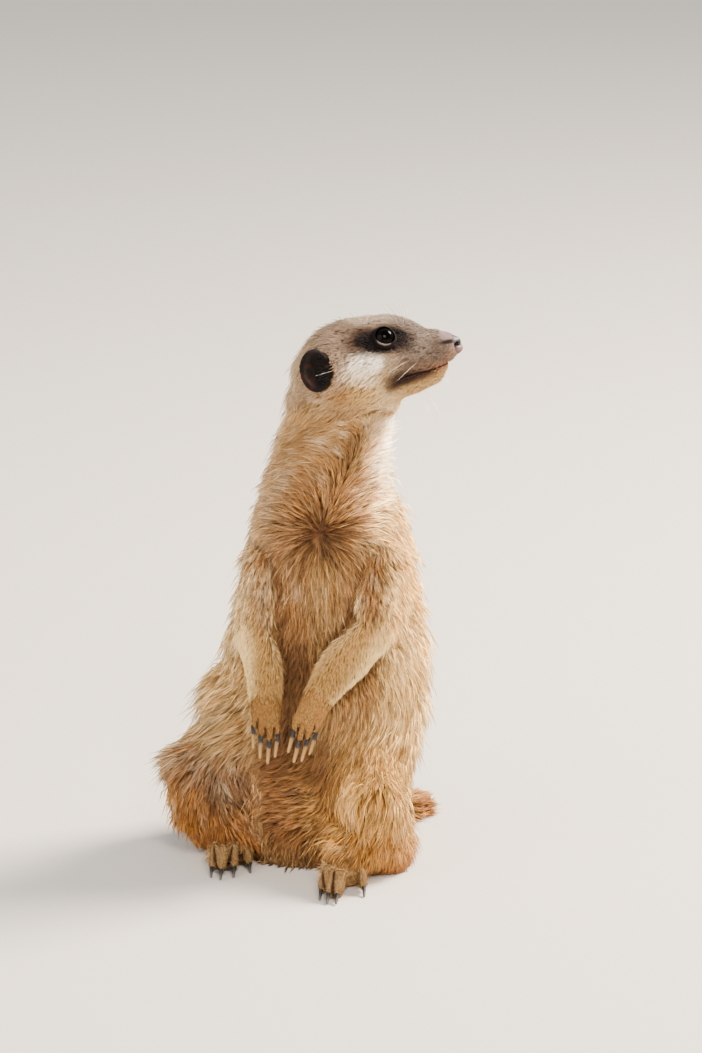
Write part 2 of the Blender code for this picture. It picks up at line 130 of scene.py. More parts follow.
def new_object(name, points, faces):
    """An object from points in millimetres."""
    mesh = bpy.data.meshes.new(name)
    mesh.from_pydata((np.asarray(points) * MM).tolist(), [], [tuple(map(int, face)) for face in faces])
    mesh.update()
    made = bpy.data.objects.new(name, mesh)
    bpy.context.scene.collection.objects.link(made)
    return made


def read_rows(items, field, width, kind=np.float32):
    flat = np.empty(len(items) * width, kind)
    items.foreach_get(field, flat)
    return flat.reshape(-1, width)


def points_of(mesh):
    return read_rows(mesh.vertices, "co", 3).astype(float) / MM


def normals_of(mesh):
    return read_rows(mesh.vertex_normals, "vector", 3).astype(float)


def edges_of(mesh):
    return read_rows(mesh.edges, "vertices", 2, np.int32)


def set_points(mesh, points):
    mesh.vertices.foreach_set("co", (points * MM).astype(np.float32).ravel())
    mesh.update()


def spread(values, edges, rounds, share=0.5):
    """Values averaged with those of the neighbours, so many times."""
    first, second = edges.T
    count = np.bincount(first, minlength=len(values)) + np.bincount(second, minlength=len(values))
    values = np.array(values, float)
    columns = values if values.ndim > 1 else values[:, None]
    for _ in range(rounds):
        for column in columns.T:
            total = np.bincount(first, column[second], len(column))
            total += np.bincount(second, column[first], len(column))
            column += share * (total / np.maximum(count, 1) - column)
    return columns if values.ndim > 1 else columns[:, 0]


def applied(thing):
    """Replaces an object's mesh by the outcome of its modifiers."""
    graph = bpy.context.evaluated_depsgraph_get()
    mesh = bpy.data.meshes.new_from_object(thing.evaluated_get(graph))
    thing.modifiers.clear()
    old, thing.data = thing.data, mesh
    bpy.data.meshes.remove(old)
    return thing


def edit_mesh(thing, change):
    """Opens an object's mesh, lets a function change it, and writes it back."""
    whole = bmesh.new()
    whole.from_mesh(thing.data)
    whole.verts.ensure_lookup_table()
    change(whole)
    whole.to_mesh(thing.data)
    whole.free()


def face_outwards(thing):
    edit_mesh(thing, lambda whole: bmesh.ops.recalc_face_normals(whole, faces=whole.faces))


def tube_faces(rings, sides, base=0):
    """Faces between rings of points that follow each other, from the point with number base on."""
    faces = []
    for low in range(base, base + (rings - 1) * sides, sides):
        for this, after in zip(range(sides), [*range(1, sides), 0]):
            faces.append((low + this, low + after, low + sides + after, low + sides + this))
    return faces


def solid_faces(node):
    """A solid's points and its triangles. A loaded node is loose triangles, so doubles are merged here."""
    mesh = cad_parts[node].data
    mesh.calc_loop_triangles()
    triangles = np.array([t.vertices[:] for t in mesh.loop_triangles])
    kept, where = np.unique(np.round(points_of(mesh), 3), axis=0, return_inverse=True)
    triangles = where.ravel()[triangles]
    first, second, third = triangles.T
    return kept, triangles[(first != second) & (second != third) & (first != third)]


# %% Name the zones of the body
ZONES = {
    "head": ["head", "lower_jaw"], "ears": ["ear_left", "ear_right"], "neck": ["neck"],
    "trunk": ["chest", "abdomen"], "upper_arms": ["upper_arm_left", "upper_arm_right"],
    "forearms": ["forearm_left", "forearm_right"], "hands": ["forepaw_left", "forepaw_right"],
    "thighs": ["thigh_left", "thigh_right"],
    "shanks": ["shank_left", "shank_right"], "feet": ["hind_foot_left", "hind_foot_right"],
    "tail": ["tail_base", "tail_mid", "tail_tip"],
}
FLESH = [node for nodes in ZONES.values() for node in nodes]
ZONE_OF = {node: number for number, nodes in enumerate(ZONES.values()) for node in nodes}
print("flesh:", len(FLESH), "solids in", len(ZONES), "zones")

# %% Swell the solids and gather them
CLOSE_CUTS = 0.25
gathered_points, gathered_faces, face_zone, start = [], [], [], 0
for node in FLESH:
    points, triangles = solid_faces(node)
    normals = np.zeros_like(points)
    first, second, third = (points[triangles[:, corner]] for corner in range(3))
    cross = np.cross(second - first, third - first)
    for corner in range(3):
        np.add.at(normals, triangles[:, corner], cross)
    gathered_points.append(points + unit(normals) * CLOSE_CUTS)
    gathered_faces.append(triangles + start)
    face_zone += [ZONE_OF[node]] * len(triangles)
    start += len(points)
body_points, body_faces = np.vstack(gathered_points), np.vstack(gathered_faces)
face_zone = np.array(face_zone)
solid_tree = BVHTree.FromPolygons(body_points.tolist(), body_faces.tolist(), all_triangles=True)
print("gathered", len(body_faces), "triangles")

# %% Shape an ear
EAR_OUT = {"left": unit(LEFT * 0.93 + AHEAD * 0.36), "right": unit(-LEFT * 0.93 + AHEAD * 0.36)}
EAR_RADII = (8.3, 10.8, 3.6)  # ahead, up, out: half sizes of the cup
EAR_PROUD = 1.6  # the cup stands this far out of its solid's middle


def ear_points(side_name, rings=40, segments=72):
    """A round shell, hollowed on the side that faces out, with a rolled rim and two inner folds."""
    out = EAR_OUT[side_name]
    back = unit(np.cross(CROWN, out)) * (1 if side_name == "left" else -1)
    back = back if back @ AHEAD < 0 else -back
    middle = middle_of(f"ear_{side_name}") + out * EAR_PROUD
    ball = np.array([(sin(polar) * cos(angle), sin(polar) * sin(angle), cos(polar))
                     for polar in pi * np.arange(rings + 1) / rings
                     for angle in 2 * pi * np.arange(segments) / segments])
    reach = np.hypot(ball[:, 0], ball[:, 1])
    x, y, z = (ball * EAR_RADII).T
    facing = ball[:, 2] > 0
    bowl = 4.6 * (1 - smoothstep(0.35, 0.86, reach))
    fold = (1.3 * np.exp(-((x + 1.5 + 0.22 * y) / 1.3) ** 2)
            * smoothstep(-9, -2, y) * (1 - smoothstep(4, 8, y)))
    tragus = 1.8 * np.exp(-((x - 4.4) / 1.6) ** 2 - ((y + 2.6) / 2.4) ** 2)
    z = np.where(facing, z - bowl + fold + tragus, z)
    forward = -back
    placed = middle + np.outer(x, forward) + np.outer(y, CROWN) + np.outer(z, out)
    return placed, [(first, fourth, third, second)
                    for first, second, third, fourth in tube_faces(rings + 1, segments)]


def ear_share(points):
    """1 on the shell of an ear, 0 a millimetre outside it."""
    share = np.zeros(len(points))
    for side_name, out in EAR_OUT.items():
        away = points - middle_of(f"ear_{side_name}") - out * EAR_PROUD
        forward = unit(np.cross(CROWN, out))
        place = np.hypot(away @ forward / EAR_RADII[0], away @ CROWN / EAR_RADII[1])
        share = np.maximum(share, (1 - smoothstep(0.97, 1.10, place)) * (np.abs(away @ out) < 5.5))
    return share


# %% Add the toes
TOE_TAPER = 0.18
TOE_CLEARANCE = 0.3  # between a toe and the floor


def claw_line(node):
    """Root and tip of a claw's solid, by its long axis."""
    points, _ = solid_faces(node)
    middle = points.mean(axis=0)
    along = np.linalg.svd(points - middle)[2][0]
    reach = (points - middle) @ along
    ends = [points[np.argsort(reach)[:5]].mean(axis=0), points[np.argsort(reach)[-5:]].mean(axis=0)]
    axis = 2 if "fore" in node else 1  # a fore claw hangs down, a hind claw points ahead
    return sorted(ends, key=lambda end: -end[axis])


def toe(start, end, radius, arch, rings=18, sides=20):
    """A finger of flesh between two points, arched, round at both ends and thinner at the second."""
    along = unit(end - start)
    wide = unit(np.cross(along, [0.3, 0.2, 1.0]))
    thick = np.cross(along, wide)
    rows = []
    for share in (1 - np.cos(np.linspace(0, pi, rings))) / 2:
        middle = start + (end - start) * share + np.array([0, 0, arch * 4 * share * (1 - share)])
        across = radius * (1 - TOE_TAPER * share) * np.sqrt(1 - np.abs(2 * share - 1) ** 9)
        for angle in np.arange(sides) * 2 * pi / sides:
            rows.append(middle + across * (wide * cos(angle) + thick * sin(angle)))
    return np.maximum(rows, [-np.inf, -np.inf, TOE_CLEARANCE]), tube_faces(rings, sides)


# radius, how far behind the claw's root it starts, the share of the claw that it covers, and its arch
TOES = {"fore": (1.8, 7.0, 0.10, 0.0), "hind": (3.3, 9.0, 0.24, 1.2)}
toes = []
for node in sorted(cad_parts):
    if node.startswith("claw_"):
        root, tip = claw_line(node)
        radius, behind, over, arch = TOES["fore" if "fore" in node else "hind"]
        start = root - unit(tip - root) * behind
        if "hind" in node:
            foot = middle_of("hind_foot_left" if "left" in node else "hind_foot_right")
            start += np.array([0.22 * (foot[0] - start[0]), 0, 4.0])
        toes.append(toe(start, root + (tip - root) * over, radius, arch))
print("toes:", len(toes))

# %% Remesh to one skin
VOXEL = 0.7
SAME_PLACE = 1e-7
no_ears = body_faces[face_zone != list(ZONES).index("ears")]
points_in, faces_in = [body_points], [tuple(face) for face in no_ears]
start = len(body_points)
for placed, faces in [ear_points("left"), ear_points("right"), *toes]:
    points_in.append(placed)
    faces_in += [tuple(corner + start for corner in face) for face in faces]
    start += len(placed)
skin = new_object("skin", np.vstack(points_in), faces_in)


def join_and_drop_loose(whole):
    bmesh.ops.delete(whole, geom=[v for v in whole.verts if not v.link_faces], context="VERTS")
    bmesh.ops.remove_doubles(whole, verts=whole.verts, dist=SAME_PLACE)


edit_mesh(skin, join_and_drop_loose)
face_outwards(skin)
remesh = skin.modifiers.new("one_skin", "REMESH")
remesh.mode = "VOXEL"
remesh.voxel_size = VOXEL * MM
applied(skin)
print("remeshed to", len(skin.data.vertices), "points")

# %% Keep the outer sheet alone
def largest_sheet(count, edges):
    """Marks the points of the largest connected piece. Labels sink along edges and through each other."""
    label = np.arange(count)
    while True:
        low = np.minimum(label[edges[:, 0]], label[edges[:, 1]])
        np.minimum.at(label, label[edges[:, 0]], low)
        np.minimum.at(label, label[edges[:, 1]], low)
        settled = label[label]
        if np.array_equal(settled, label) and np.array_equal(label[edges[:, 0]], label[edges[:, 1]]):
            break
        label = settled
    return label == np.bincount(label).argmax()


def drop_inner(whole):
    bmesh.ops.delete(whole, geom=[whole.verts[int(number)] for number in inner], context="VERTS")


inner = np.flatnonzero(~largest_sheet(len(skin.data.vertices), edges_of(skin.data)))
edit_mesh(skin, drop_inner)
print("dropped", len(inner), "points inside the cuts, kept", len(skin.data.vertices))

# %% Smooth, and find out which zone each point is in
def zones_at(points, edges, rounds):
    """The share of each zone at each point: that of the nearest solid, blurred across the borders."""
    found = np.zeros((len(points), len(ZONES)))
    closest = [solid_tree.find_nearest(point)[2] for point in points.tolist()]
    found[np.arange(len(points)), face_zone[closest]] = 1
    return spread(found, edges, rounds)


ZONE = {name: number for number, name in enumerate(ZONES)}


def share_of(zones, *names):
    """How much of some zones there is at each point."""
    return zones[:, [ZONE[name] for name in names]].sum(axis=1)


edges = edges_of(skin.data)
points = points_of(skin.data)
zones = zones_at(points, edges, 24)
fine = np.clip(share_of(zones, "hands", "feet", "ears") * 1.2, 0, 1)
soft = spread(points, edges, 14)
points = soft + (spread(points, edges, 4) - soft) * fine[:, None]
set_points(skin.data, points)
print("zones:", {name: int((zones[:, number] > 0.5).sum()) for name, number in ZONE.items()})

# %% Draw the skin in by the depth of the coat
COAT_DEPTH = {
    "head": 2.3, "ears": 0.0, "neck": 5.0, "trunk": 5.2, "upper_arms": 2.6, "forearms": 1.7, "hands": 0.6,
    "thighs": 4.8, "shanks": 4.4, "feet": 0.7, "tail": 1.4,
}


def nearest(points, middles):
    """Distance to the nearest of some places."""
    return np.min([np.linalg.norm(points - middle, axis=1) for middle in middles], axis=0)


def near(points, place, reach):
    """1 at a place, falling smoothly to 0 at the reach from it."""
    return 1 - smoothstep(0, reach, np.linalg.norm(points - place, axis=1))


def depth_at(points, normals, zones):
    depth = zones @ np.array([COAT_DEPTH[name] for name in ZONES])
    behind = in_head(points)[:, 0]
    muzzle = share_of(zones, "head") * (1 - smoothstep(14, 40, behind))
    depth -= muzzle * 1.7
    for eye in EYE_MIDDLES.values():
        depth *= 1 - 0.75 * near(points, eye, 14)
    for ear in ("ear_left", "ear_right"):
        depth *= 1 - 0.5 * near(points, middle_of(ear), 18)
    underside = np.clip(-normals[:, 2], 0, 1) * (1 - smoothstep(2, 8, points[:, 2]))
    return np.maximum(depth * (1 - 0.9 * underside), 0.0)


STEPS = 4
for step in range(STEPS):
    normals = unit(spread(normals_of(skin.data), edges, 3))
    if step == 0:
        depth = spread(depth_at(points, normals, zones), edges, 60)
    points = points - normals * ((depth + CLOSE_CUTS) / STEPS)[:, None]
    points = spread(points, edges, 2, 0.4) * (1 - fine[:, None]) + points * fine[:, None]
    set_points(skin.data, points)
print("skin lies", depth.min().round(2), "to", depth.max().round(2), "mm inside the solids")

# %% Ease the thighs into the trunk
thigh, shank = share_of(zones, "thighs"), share_of(zones, "shanks")
border = spread(4 * (share_of(zones, "trunk") * np.clip(thigh + shank, 0, 1) + thigh * shank), edges, 60)
eased = spread(points, edges, 320)
points = points + (eased - points) * smoothstep(0.03, 0.35, border)[:, None]
set_points(skin.data, points)

# %% Sharpen the arms against the trunk
ARM_RELIEF = 0.7
arms = spread(share_of(zones, "upper_arms", "forearms"), edges, 40)
normals = unit(spread(normals_of(skin.data), edges, 3))
proud = np.sum((points - spread(points, edges, 90)) * normals, axis=1)
points = points + normals * (ARM_RELIEF * np.clip(proud, -1.6, 1.6) * smoothstep(0.02, 0.35, arms))[:, None]
set_points(skin.data, points)
print("arms stand out by up to", round(float(ARM_RELIEF * proud.max()), 2), "mm more")

# %% [markdown]
# ## The face
#
# Lids, nostrils and lips are finer than the rest, so the skin is divided once more around the eyes, the
# nose and the mouth. Then the points are moved by short rules in the head's own axes: a socket
# for each eyeball with a raised rim for the lids, a brow, a slack whisker pad, the crease of the mouth and
# a seat for the nose.

# %% Divide the skin where the face needs it
EYE_RADIUS = 5.7
EYE_SUNK = 0.9  # the ball is a little larger than what shows, so it sits deeper by as much
# The closed mouth's line, as (back, up) in the head's axes.
LIPS = np.array([(2.5, -5.6), (8, -6.8), (13, -8.0), (18, -8.6), (24, -8.8), (30, -10.0), (34, -12.0)])


def lip_height(behind):
    return np.interp(behind, LIPS[:, 0], LIPS[:, 1])


def lip_distance(head):
    """How far above the closed mouth a point of the head is, in millimetres."""
    return head[:, 2] - lip_height(head[:, 0])


points = points_of(skin.data)
head = in_head(points)
on_head = head[:, 0] < 80
wanted = np.zeros(len(points), bool)
for eye in EYE_MIDDLES.values():
    wanted |= np.linalg.norm(points - eye, axis=1) < 9.0
wanted |= on_head & (head[:, 0] < 38) & (np.abs(lip_distance(head)) < 2.6)
wanted |= np.linalg.norm(points - NOSE_MIDDLE, axis=1) < 8.5


def divide_wanted(whole):
    cut = [edge for edge in whole.edges if wanted[edge.verts[0].index] and wanted[edge.verts[1].index]]
    bmesh.ops.subdivide_edges(whole, edges=cut, cuts=1, use_grid_fill=True)


edit_mesh(skin, divide_wanted)
print("divided, now", len(skin.data.vertices), "points")

# %% Lids round each eye
EYE_OPENING = (4.75, 4.45)  # half length and half height, in millimetres
LID_THICKNESS = 0.6


def eye_axes(side_name):
    """Directions of an eye: out of the head, towards the nose along the opening, and up across it."""
    side_sign = 1 if side_name == "left" else -1
    out = unit(LEFT * side_sign * 0.86 + AHEAD * 0.32 + CROWN * 0.40)
    along = unit(AHEAD - out * (AHEAD @ out) - CROWN * 0.10)
    along = unit(along - out * (along @ out))
    return out, along, unit(np.cross(out, along)) * (1 if np.cross(out, along) @ CROWN > 0 else -1)


def eye_places(points, side_name):
    """Coordinates along, across and out of an eye, and 1 on the rim of the opening."""
    out, along, above = eye_axes(side_name)
    away = points - (EYE_MIDDLES[side_name] - out * EYE_SUNK)
    a, b, c = away @ along, away @ above, away @ out
    return a, b, c, np.hypot(a / EYE_OPENING[0], b / EYE_OPENING[1])


def shape_lids(points):
    """Lays the skin round each eye on a lid of even thickness, with a clean edge at the opening."""
    for side_name in EYE_MIDDLES:
        out, along, above = eye_axes(side_name)
        a, b, c, place = eye_places(points, side_name)
        close = (c > -3) & (place < 2.9)
        on_rim = close & (np.abs(place - 1) < 0.13)  # points next to the rim go onto it, for a clean edge
        snap = np.where(on_rim, 1 / np.maximum(place, 0.5), 1.0)
        points = points + np.outer(a * (snap - 1), along) + np.outer(b * (snap - 1), above)
        a, b, place = a * snap, b * snap, place * snap
        lid = EYE_RADIUS + LID_THICKNESS * (1 - 0.6 * smoothstep(1.1, 1.7, place))
        flat = np.minimum(np.hypot(a, b), lid * 0.985)
        on_lid = np.sqrt(lid ** 2 - flat ** 2)
        share = (1 - smoothstep(1.15, 2.8, place)) * close
        raised = c + (on_lid - c) * share
        deep = np.sqrt(np.maximum((EYE_RADIUS - 0.6) ** 2 - flat ** 2, 0.5))
        raised = np.where(close & (place < 0.99), deep, raised)
        points = points + np.outer(raised - c, out)
    return points


# %% Brow, cheeks, muzzle, lips and chin
def swelling(head, back, left, up, reach_back, reach_left, reach_up):
    """A soft swelling, the same on both sides of the head."""
    return np.exp(
        -((head[:, 0] - back) / reach_back) ** 2 - ((np.abs(head[:, 1]) - left) / reach_left) ** 2
        - ((head[:, 2] - up) / reach_up) ** 2
    )


def shape_face(points, normals, zones):
    """Brow, cheeks, muzzle and chin as swellings, and the crease of the mouth between two lips."""
    head = in_head(points)
    here = np.clip(share_of(zones, "head") * 1.3, 0, 1)
    move = np.zeros(len(points))
    move += 1.5 * swelling(head, 33, 12.5, 18, 7, 4.5, 3.0)  # brow
    move -= 1.0 * swelling(head, 24, 10, 6, 6, 5, 5)  # hollow before the eye
    move += 0.9 * swelling(head, 14, 8, -6, 7, 5, 4)  # whisker pad
    move += 0.8 * swelling(head, 44, 22, -3, 9, 8, 6)  # cheek
    move -= 0.7 * swelling(head, 30, 17, -7, 8, 6, 4)  # below the cheek
    move += 0.6 * swelling(head, 9, 3, -12, 5, 5, 3)  # chin
    gap = lip_distance(head)
    reach = (1 - smoothstep(31, 36, head[:, 0])) * smoothstep(1.5, 4.5, head[:, 0])
    move -= 1.25 * np.exp(-(gap / 0.55) ** 2) * reach  # the crease itself
    move += 0.35 * np.exp(-((gap - 1.5) / 0.8) ** 2) * reach  # upper lip
    move += 0.30 * np.exp(-((gap + 1.5) / 0.8) ** 2) * reach  # lower lip
    split = np.exp(-(head[:, 1] / 0.5) ** 2) * (gap > 0)  # of the upper lip, below the nose
    move -= 0.5 * split * (head[:, 2] < -1) * (1 - smoothstep(4, 7, head[:, 0]))
    return points + normals * (move * here)[:, None]


edges = edges_of(skin.data)
points = points_of(skin.data)
zones = zones_at(points, edges, 16)
points = shape_face(points, unit(spread(normals_of(skin.data), edges, 4)), zones)
points = shape_lids(points)
set_points(skin.data, points)
head = in_head(points)
wrap = 3.4 * (1 - smoothstep(7.5, 15, head[:, 0])) * smoothstep(-6.5, -3.0, head[:, 2])
points = points + wrap[:, None] * AHEAD
soft = spread(points, edges, 10)
points = points + (soft - points) * ((wrap > 1.5) * 0.9)[:, None]
set_points(skin.data, points)
print("face shaped")

# %% Fill the jaw, lower the brow, trim the haunches
head = in_head(points)
back, sideways, up = head[:, 0], np.abs(head[:, 1]), head[:, 2]
below_lips = smoothstep(-1.5, -5, lip_distance(head))
jaw = share_of(zones, "head") * smoothstep(2, 10, back) * (1 - smoothstep(22, 46, back)) * below_lips
brow = share_of(zones, "head") * within(13, 29, back, 5) * smoothstep(7, 12, up)
JAW_FILL, BROW_DROP, CHIN_FILL = 2.3, 1.2, 0.8
points = points - CROWN * (JAW_FILL * jaw + BROW_DROP * brow)[:, None]
points = points + AHEAD * (CHIN_FILL * jaw * within(4, 14, back, 3))[:, None]
x, y, z = points.T
right_haunch = 7.0 * np.exp(-((z - 72) / 15) ** 2) * smoothstep(-34, -56, x)
left_haunch = 5.0 * np.exp(-((z - 16) / 18) ** 2) * smoothstep(34, 58, x) * smoothstep(40, 20, y)
points[:, 0] += right_haunch - left_haunch
set_points(skin.data, points)
print("jaw filled by", JAW_FILL, "mm, haunches trimmed by up to", right_haunch.max().round(1), "mm")

# %% Part the digits
GAP_LENGTH, GAP_WIDTH, GAP_DEPTH = 10.0, 0.8, 1.3  # of the gap between two digits, in millimetres


def digit_gaps(points):
    """1 in the gaps between the digits of the hands and feet."""
    share = np.zeros(len(points))
    for limb in ("fore_left", "fore_right", "hind_left", "hind_right"):
        lines = [claw_line(node) for node in sorted(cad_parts) if node.startswith(f"claw_{limb}")]
        lines.sort(key=lambda line: line[0][0])
        for (root, tip), (next_root, next_tip) in zip(lines, lines[1:]):
            middle = (root + next_root) / 2
            rising = unit((root - tip) + (next_root - next_tip))
            across = unit((next_root - root) - rising * ((next_root - root) @ rising))
            away = points - middle
            along = away @ rising
            reach = GAP_LENGTH * (1 if "fore" in limb else 1.25)
            wide = GAP_WIDTH * (1 - 0.5 * smoothstep(0, reach, along))
            here = np.exp(-((away @ across) / wide) ** 2)
            here *= smoothstep(-7, -5, along) * (1 - smoothstep(0.6, 1, along / reach))
            share = np.maximum(share, here * (np.linalg.norm(away, axis=1) < 14))
    return share


normals = unit(spread(normals_of(skin.data), edges, 2))
gaps = digit_gaps(points) * share_of(zones, "hands", "feet")
shows = (normals[:, 1] < 0.4) & (normals[:, 2] > -0.5)  # neither the palm nor the sole
points = points - normals * (GAP_DEPTH * (1 - 0.3 * share_of(zones, "feet")) * gaps * shows)[:, None]
set_points(skin.data, points)
print("digits parted, gap points:", int((gaps > 0.5).sum()))

# %% Thin the sheet on the trunk, where the coat hides it
KEEP = 190_000
head = in_head(points)
careful = np.clip(share_of(zones, "hands", "feet", "ears"), 0, 1)
careful = np.maximum(careful, share_of(zones, "head") * (1 - smoothstep(40, 62, head[:, 0])))
group = skin.vertex_groups.new(name="thin_here")
LEVELS = 20
rough = np.round((1 - spread(careful, edges, 6)) * LEVELS).astype(int)
for level_number in range(LEVELS + 1):
    group.add(np.flatnonzero(rough == level_number).tolist(), level_number / LEVELS, "REPLACE")
thin = skin.modifiers.new("thin_sheet", "DECIMATE")
thin.ratio = KEEP / (2 * len(skin.data.polygons))
thin.vertex_group = "thin_here"
thin.vertex_group_factor = 6.0
applied(skin)
skin.vertex_groups.clear()
print("skin has", len(skin.data.polygons), "faces")

# %% [markdown]
# ## Unwrap the skin
#
# The coat borrows its texture places from the skin, so the skin is unwrapped by its own shape into flat
# islands.

# %% Unwrap
skin.select_set(True)
bpy.context.view_layer.objects.active = skin
skin.data.uv_layers.new(name="OFBake")
bpy.ops.object.mode_set(mode="EDIT")
bpy.ops.mesh.select_all(action="SELECT")
bpy.ops.uv.smart_project(angle_limit=radians(75), island_margin=0.002)
bpy.ops.object.mode_set(mode="OBJECT")
skin.select_set(False)
print("unwrapped", len(skin.data.loops), "corners")

# %% [markdown]
# ## Eyes
#
# An eye is a wet ball: a clear bulging cornea over a nearly black brown iris with a wide pupil. From
# outside only the gloss and the dark matter, so one closed ball with a slight bulge over the iris carries
# both, and the iris is drawn by distance from the eye's axis, kept as an attribute.

# %% Make the eyeballs
def ball_points(rings, segments):
    polar = np.linspace(0, pi, rings + 1)[1:-1]
    turn = np.arange(segments) * 2 * pi / segments
    grid = np.array([(sin(p) * cos(t), sin(p) * sin(t), cos(p)) for p in polar for t in turn])
    return np.vstack([[(0, 0, 1)], grid, [(0, 0, -1)]])


def ball_faces(rings, segments):
    sides = tube_faces(rings - 1, segments, base=1)
    base = 1 + (rings - 2) * segments
    last = base + segments
    faces = [(0, 1 + s, 1 + (s + 1) % segments) for s in range(segments)]
    faces += [(first, fourth, third, second) for first, second, third, fourth in sides]
    faces += [(base + s, last, base + (s + 1) % segments) for s in range(segments)]
    return faces


def add_attribute(mesh, name, values, kind="FLOAT", domain="POINT"):
    layer = mesh.attributes.new(name, kind, domain)
    field = {"FLOAT": "value", "FLOAT_VECTOR": "vector", "FLOAT2": "vector", "FLOAT_COLOR": "color"}[kind]
    layer.data.foreach_set(field, np.asarray(values, np.float32).ravel())


eyes = {}
for side_name, eye in EYE_MIDDLES.items():
    out, along, above = eye_axes(side_name)
    eye = eye - out * EYE_SUNK
    if np.cross(along, above) @ out < 0:
        above, along = along, above
    shape = ball_points(48, 64)
    off_axis = np.arccos(np.clip(shape[:, 2], -1, 1))
    radius = EYE_RADIUS + 0.25 * (1 - smoothstep(0.30, 0.75, off_axis))
    placed = eye + (shape * radius[:, None]) @ np.array([along, above, out])
    eyes[side_name] = new_object(f"eyeball_{side_name}", placed, ball_faces(48, 64))
    add_attribute(eyes[side_name].data, "off_axis", off_axis)
    eyes[side_name].data.shade_smooth()
print("eyes:", {name: len(thing.data.polygons) for name, thing in eyes.items()})

# %% [markdown]
# ## Nose
#
# The nose pad is bare, damp, finely pebbled skin: a blunt wedge with a comma-shaped nostril on each side
# that runs out backwards into a slit, and a shallow groove down the middle.

# %% Make the nose pad
NOSE_RADII = np.array([4.6, 4.7, 5.1])  # ahead, left, up
shape = ball_points(72, 96)[:, [2, 0, 1]]
local = shape * NOSE_RADII
ahead, left, up = local.T
squash_top = smoothstep(1.5, 5.0, up)
left = left * (1 - 0.20 * smoothstep(0, 4.6, -up))
ball = np.exp(-((up + 2.8) / 1.7) ** 2) * smoothstep(0.5, 3, ahead)  # the fuller lower half
ahead = ahead - 1.1 * squash_top * smoothstep(0, 4, ahead) + 0.7 * ball
sideways = np.abs(left)
nostril = np.exp(-((sideways - 2.5) / 1.25) ** 2 - ((up - 0.4) / 1.05) ** 2) * smoothstep(0.3, 2.5, ahead)
slit = np.exp(-((up + 0.1 - 0.22 * (ahead - 2)) / 0.75) ** 2)
slit *= smoothstep(2.0, 3.0, sideways) * smoothstep(-5, -3.5, ahead)
groove = np.exp(-(left / 0.35) ** 2) * smoothstep(-1, 2, ahead) * smoothstep(2.4, -1, up)
push = 2.6 * nostril + 1.5 * slit + 0.45 * groove
middle_lift = 0.35 * np.exp(-((sideways - 1.1) / 0.8) ** 2) * smoothstep(1, 3, ahead)
local = np.column_stack([ahead, left, up]) - shape * push[:, None] + shape * middle_lift[:, None]
placed = NOSE_MIDDLE + local @ np.array([AHEAD, LEFT, CROWN])
nose = new_object("nose_pad", placed, ball_faces(72, 96))
# hollow: how deep a point lies in a nostril, slit or groove; the finish paints shade there
add_attribute(nose.data, "hollow", np.clip(nostril * 1.4 + slit * 1.5 + groove * 0.5, 0, 1))
ahead, left, up = local.T
lower = smoothstep(-0.8, -1.8, up) * smoothstep(-3.6, -2.8, up) * smoothstep(1.5, 3.2, ahead)
add_attribute(nose.data, "lower", lower)
face_outwards(nose)
nose.data.shade_smooth()
print("nose pad:", len(nose.data.polygons), "faces")

# %% [markdown]
# ## Claws
#
# A meerkat digs with long, blunt, slightly curved claws of horn, dark slate at the root and worn to a dull
# beige at the tip. Each is swept along the line of its own solid, from the end inside the digit to the free
# tip, with a narrow oval section.

# %% Make the claws
CLAWS = [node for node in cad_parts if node.startswith("claw_")]
CLAW_RINGS, CLAW_SIDES = 25, 16
ROOTED, BEYOND_TIP = 1.6, 0.5  # how deep a claw starts inside the digit, and how far it goes past its solid
claws = {}
for node in CLAWS:
    root, tip = claw_line(node)
    along = unit(tip - root)
    root = root - along * ROOTED
    length = np.linalg.norm(tip - root) + BEYOND_TIP
    wide = unit(np.cross(along, [0, 1, 0] if "fore" in node else [0, 0, 1]))
    thick = np.cross(along, wide)
    sag = 0.16 if "fore" in node else -0.06
    bend = thick * (1 if thick[1] > 0 or "fore" not in node else -1)
    rows, shades = [], []
    for share in np.linspace(0, 1, CLAW_RINGS):
        round_tip = np.sqrt(np.clip((1.0 - share) / 0.07, 0, 1))
        half_wide = ((1.25 if "fore" in node else 1.15) - 0.62 * share) * round_tip + 0.01
        half_thick = (1.35 - 0.68 * share) * round_tip + 0.01
        line = root + along * length * share + bend * sag * length * (share ** 2 - 0.5 * share)
        for angle in 2 * pi * np.arange(CLAW_SIDES) / CLAW_SIDES:
            rows.append(line + wide * half_wide * cos(angle) + thick * half_thick * sin(angle))
        shades += [share] * CLAW_SIDES
    faces = tube_faces(CLAW_RINGS, CLAW_SIDES)
    faces += [tuple(reversed(range(CLAW_SIDES))), tuple(range(len(rows) - CLAW_SIDES, len(rows)))]
    claws[node] = new_object(node.replace("claw_", "horn_"), np.array(rows), faces)
    face_outwards(claws[node])
    add_attribute(claws[node].data, "along", shades)
    claws[node].data.shade_smooth()
print("claws:", len(claws))

# %% [markdown]
# ## Markings, painted light and shade
#
# Skin and coat share one set of markings, worked out for every point of the skin: warm tan all over, cream
# along the throat and flank, a red-brown belly, orange hems on the haunches, short dark bands across the
# back, a black tail tip, black ears and the dark patches round the eyes that save a meerkat from glare.
# Each marking is a soft mask with a slightly ragged edge, and paint is laid over paint. Painted light and
# shade
# go into the same colours: throat and chest are painted paler on their sunny side, with a painted rim light
# there and on the forearms; painted shade darkens creases, dents, the gaps between digits, the muzzle behind
# the nostrils, the belly under and between the arms and the coat where it meets the floor; and a painted
# reflection lies on each lower lid.

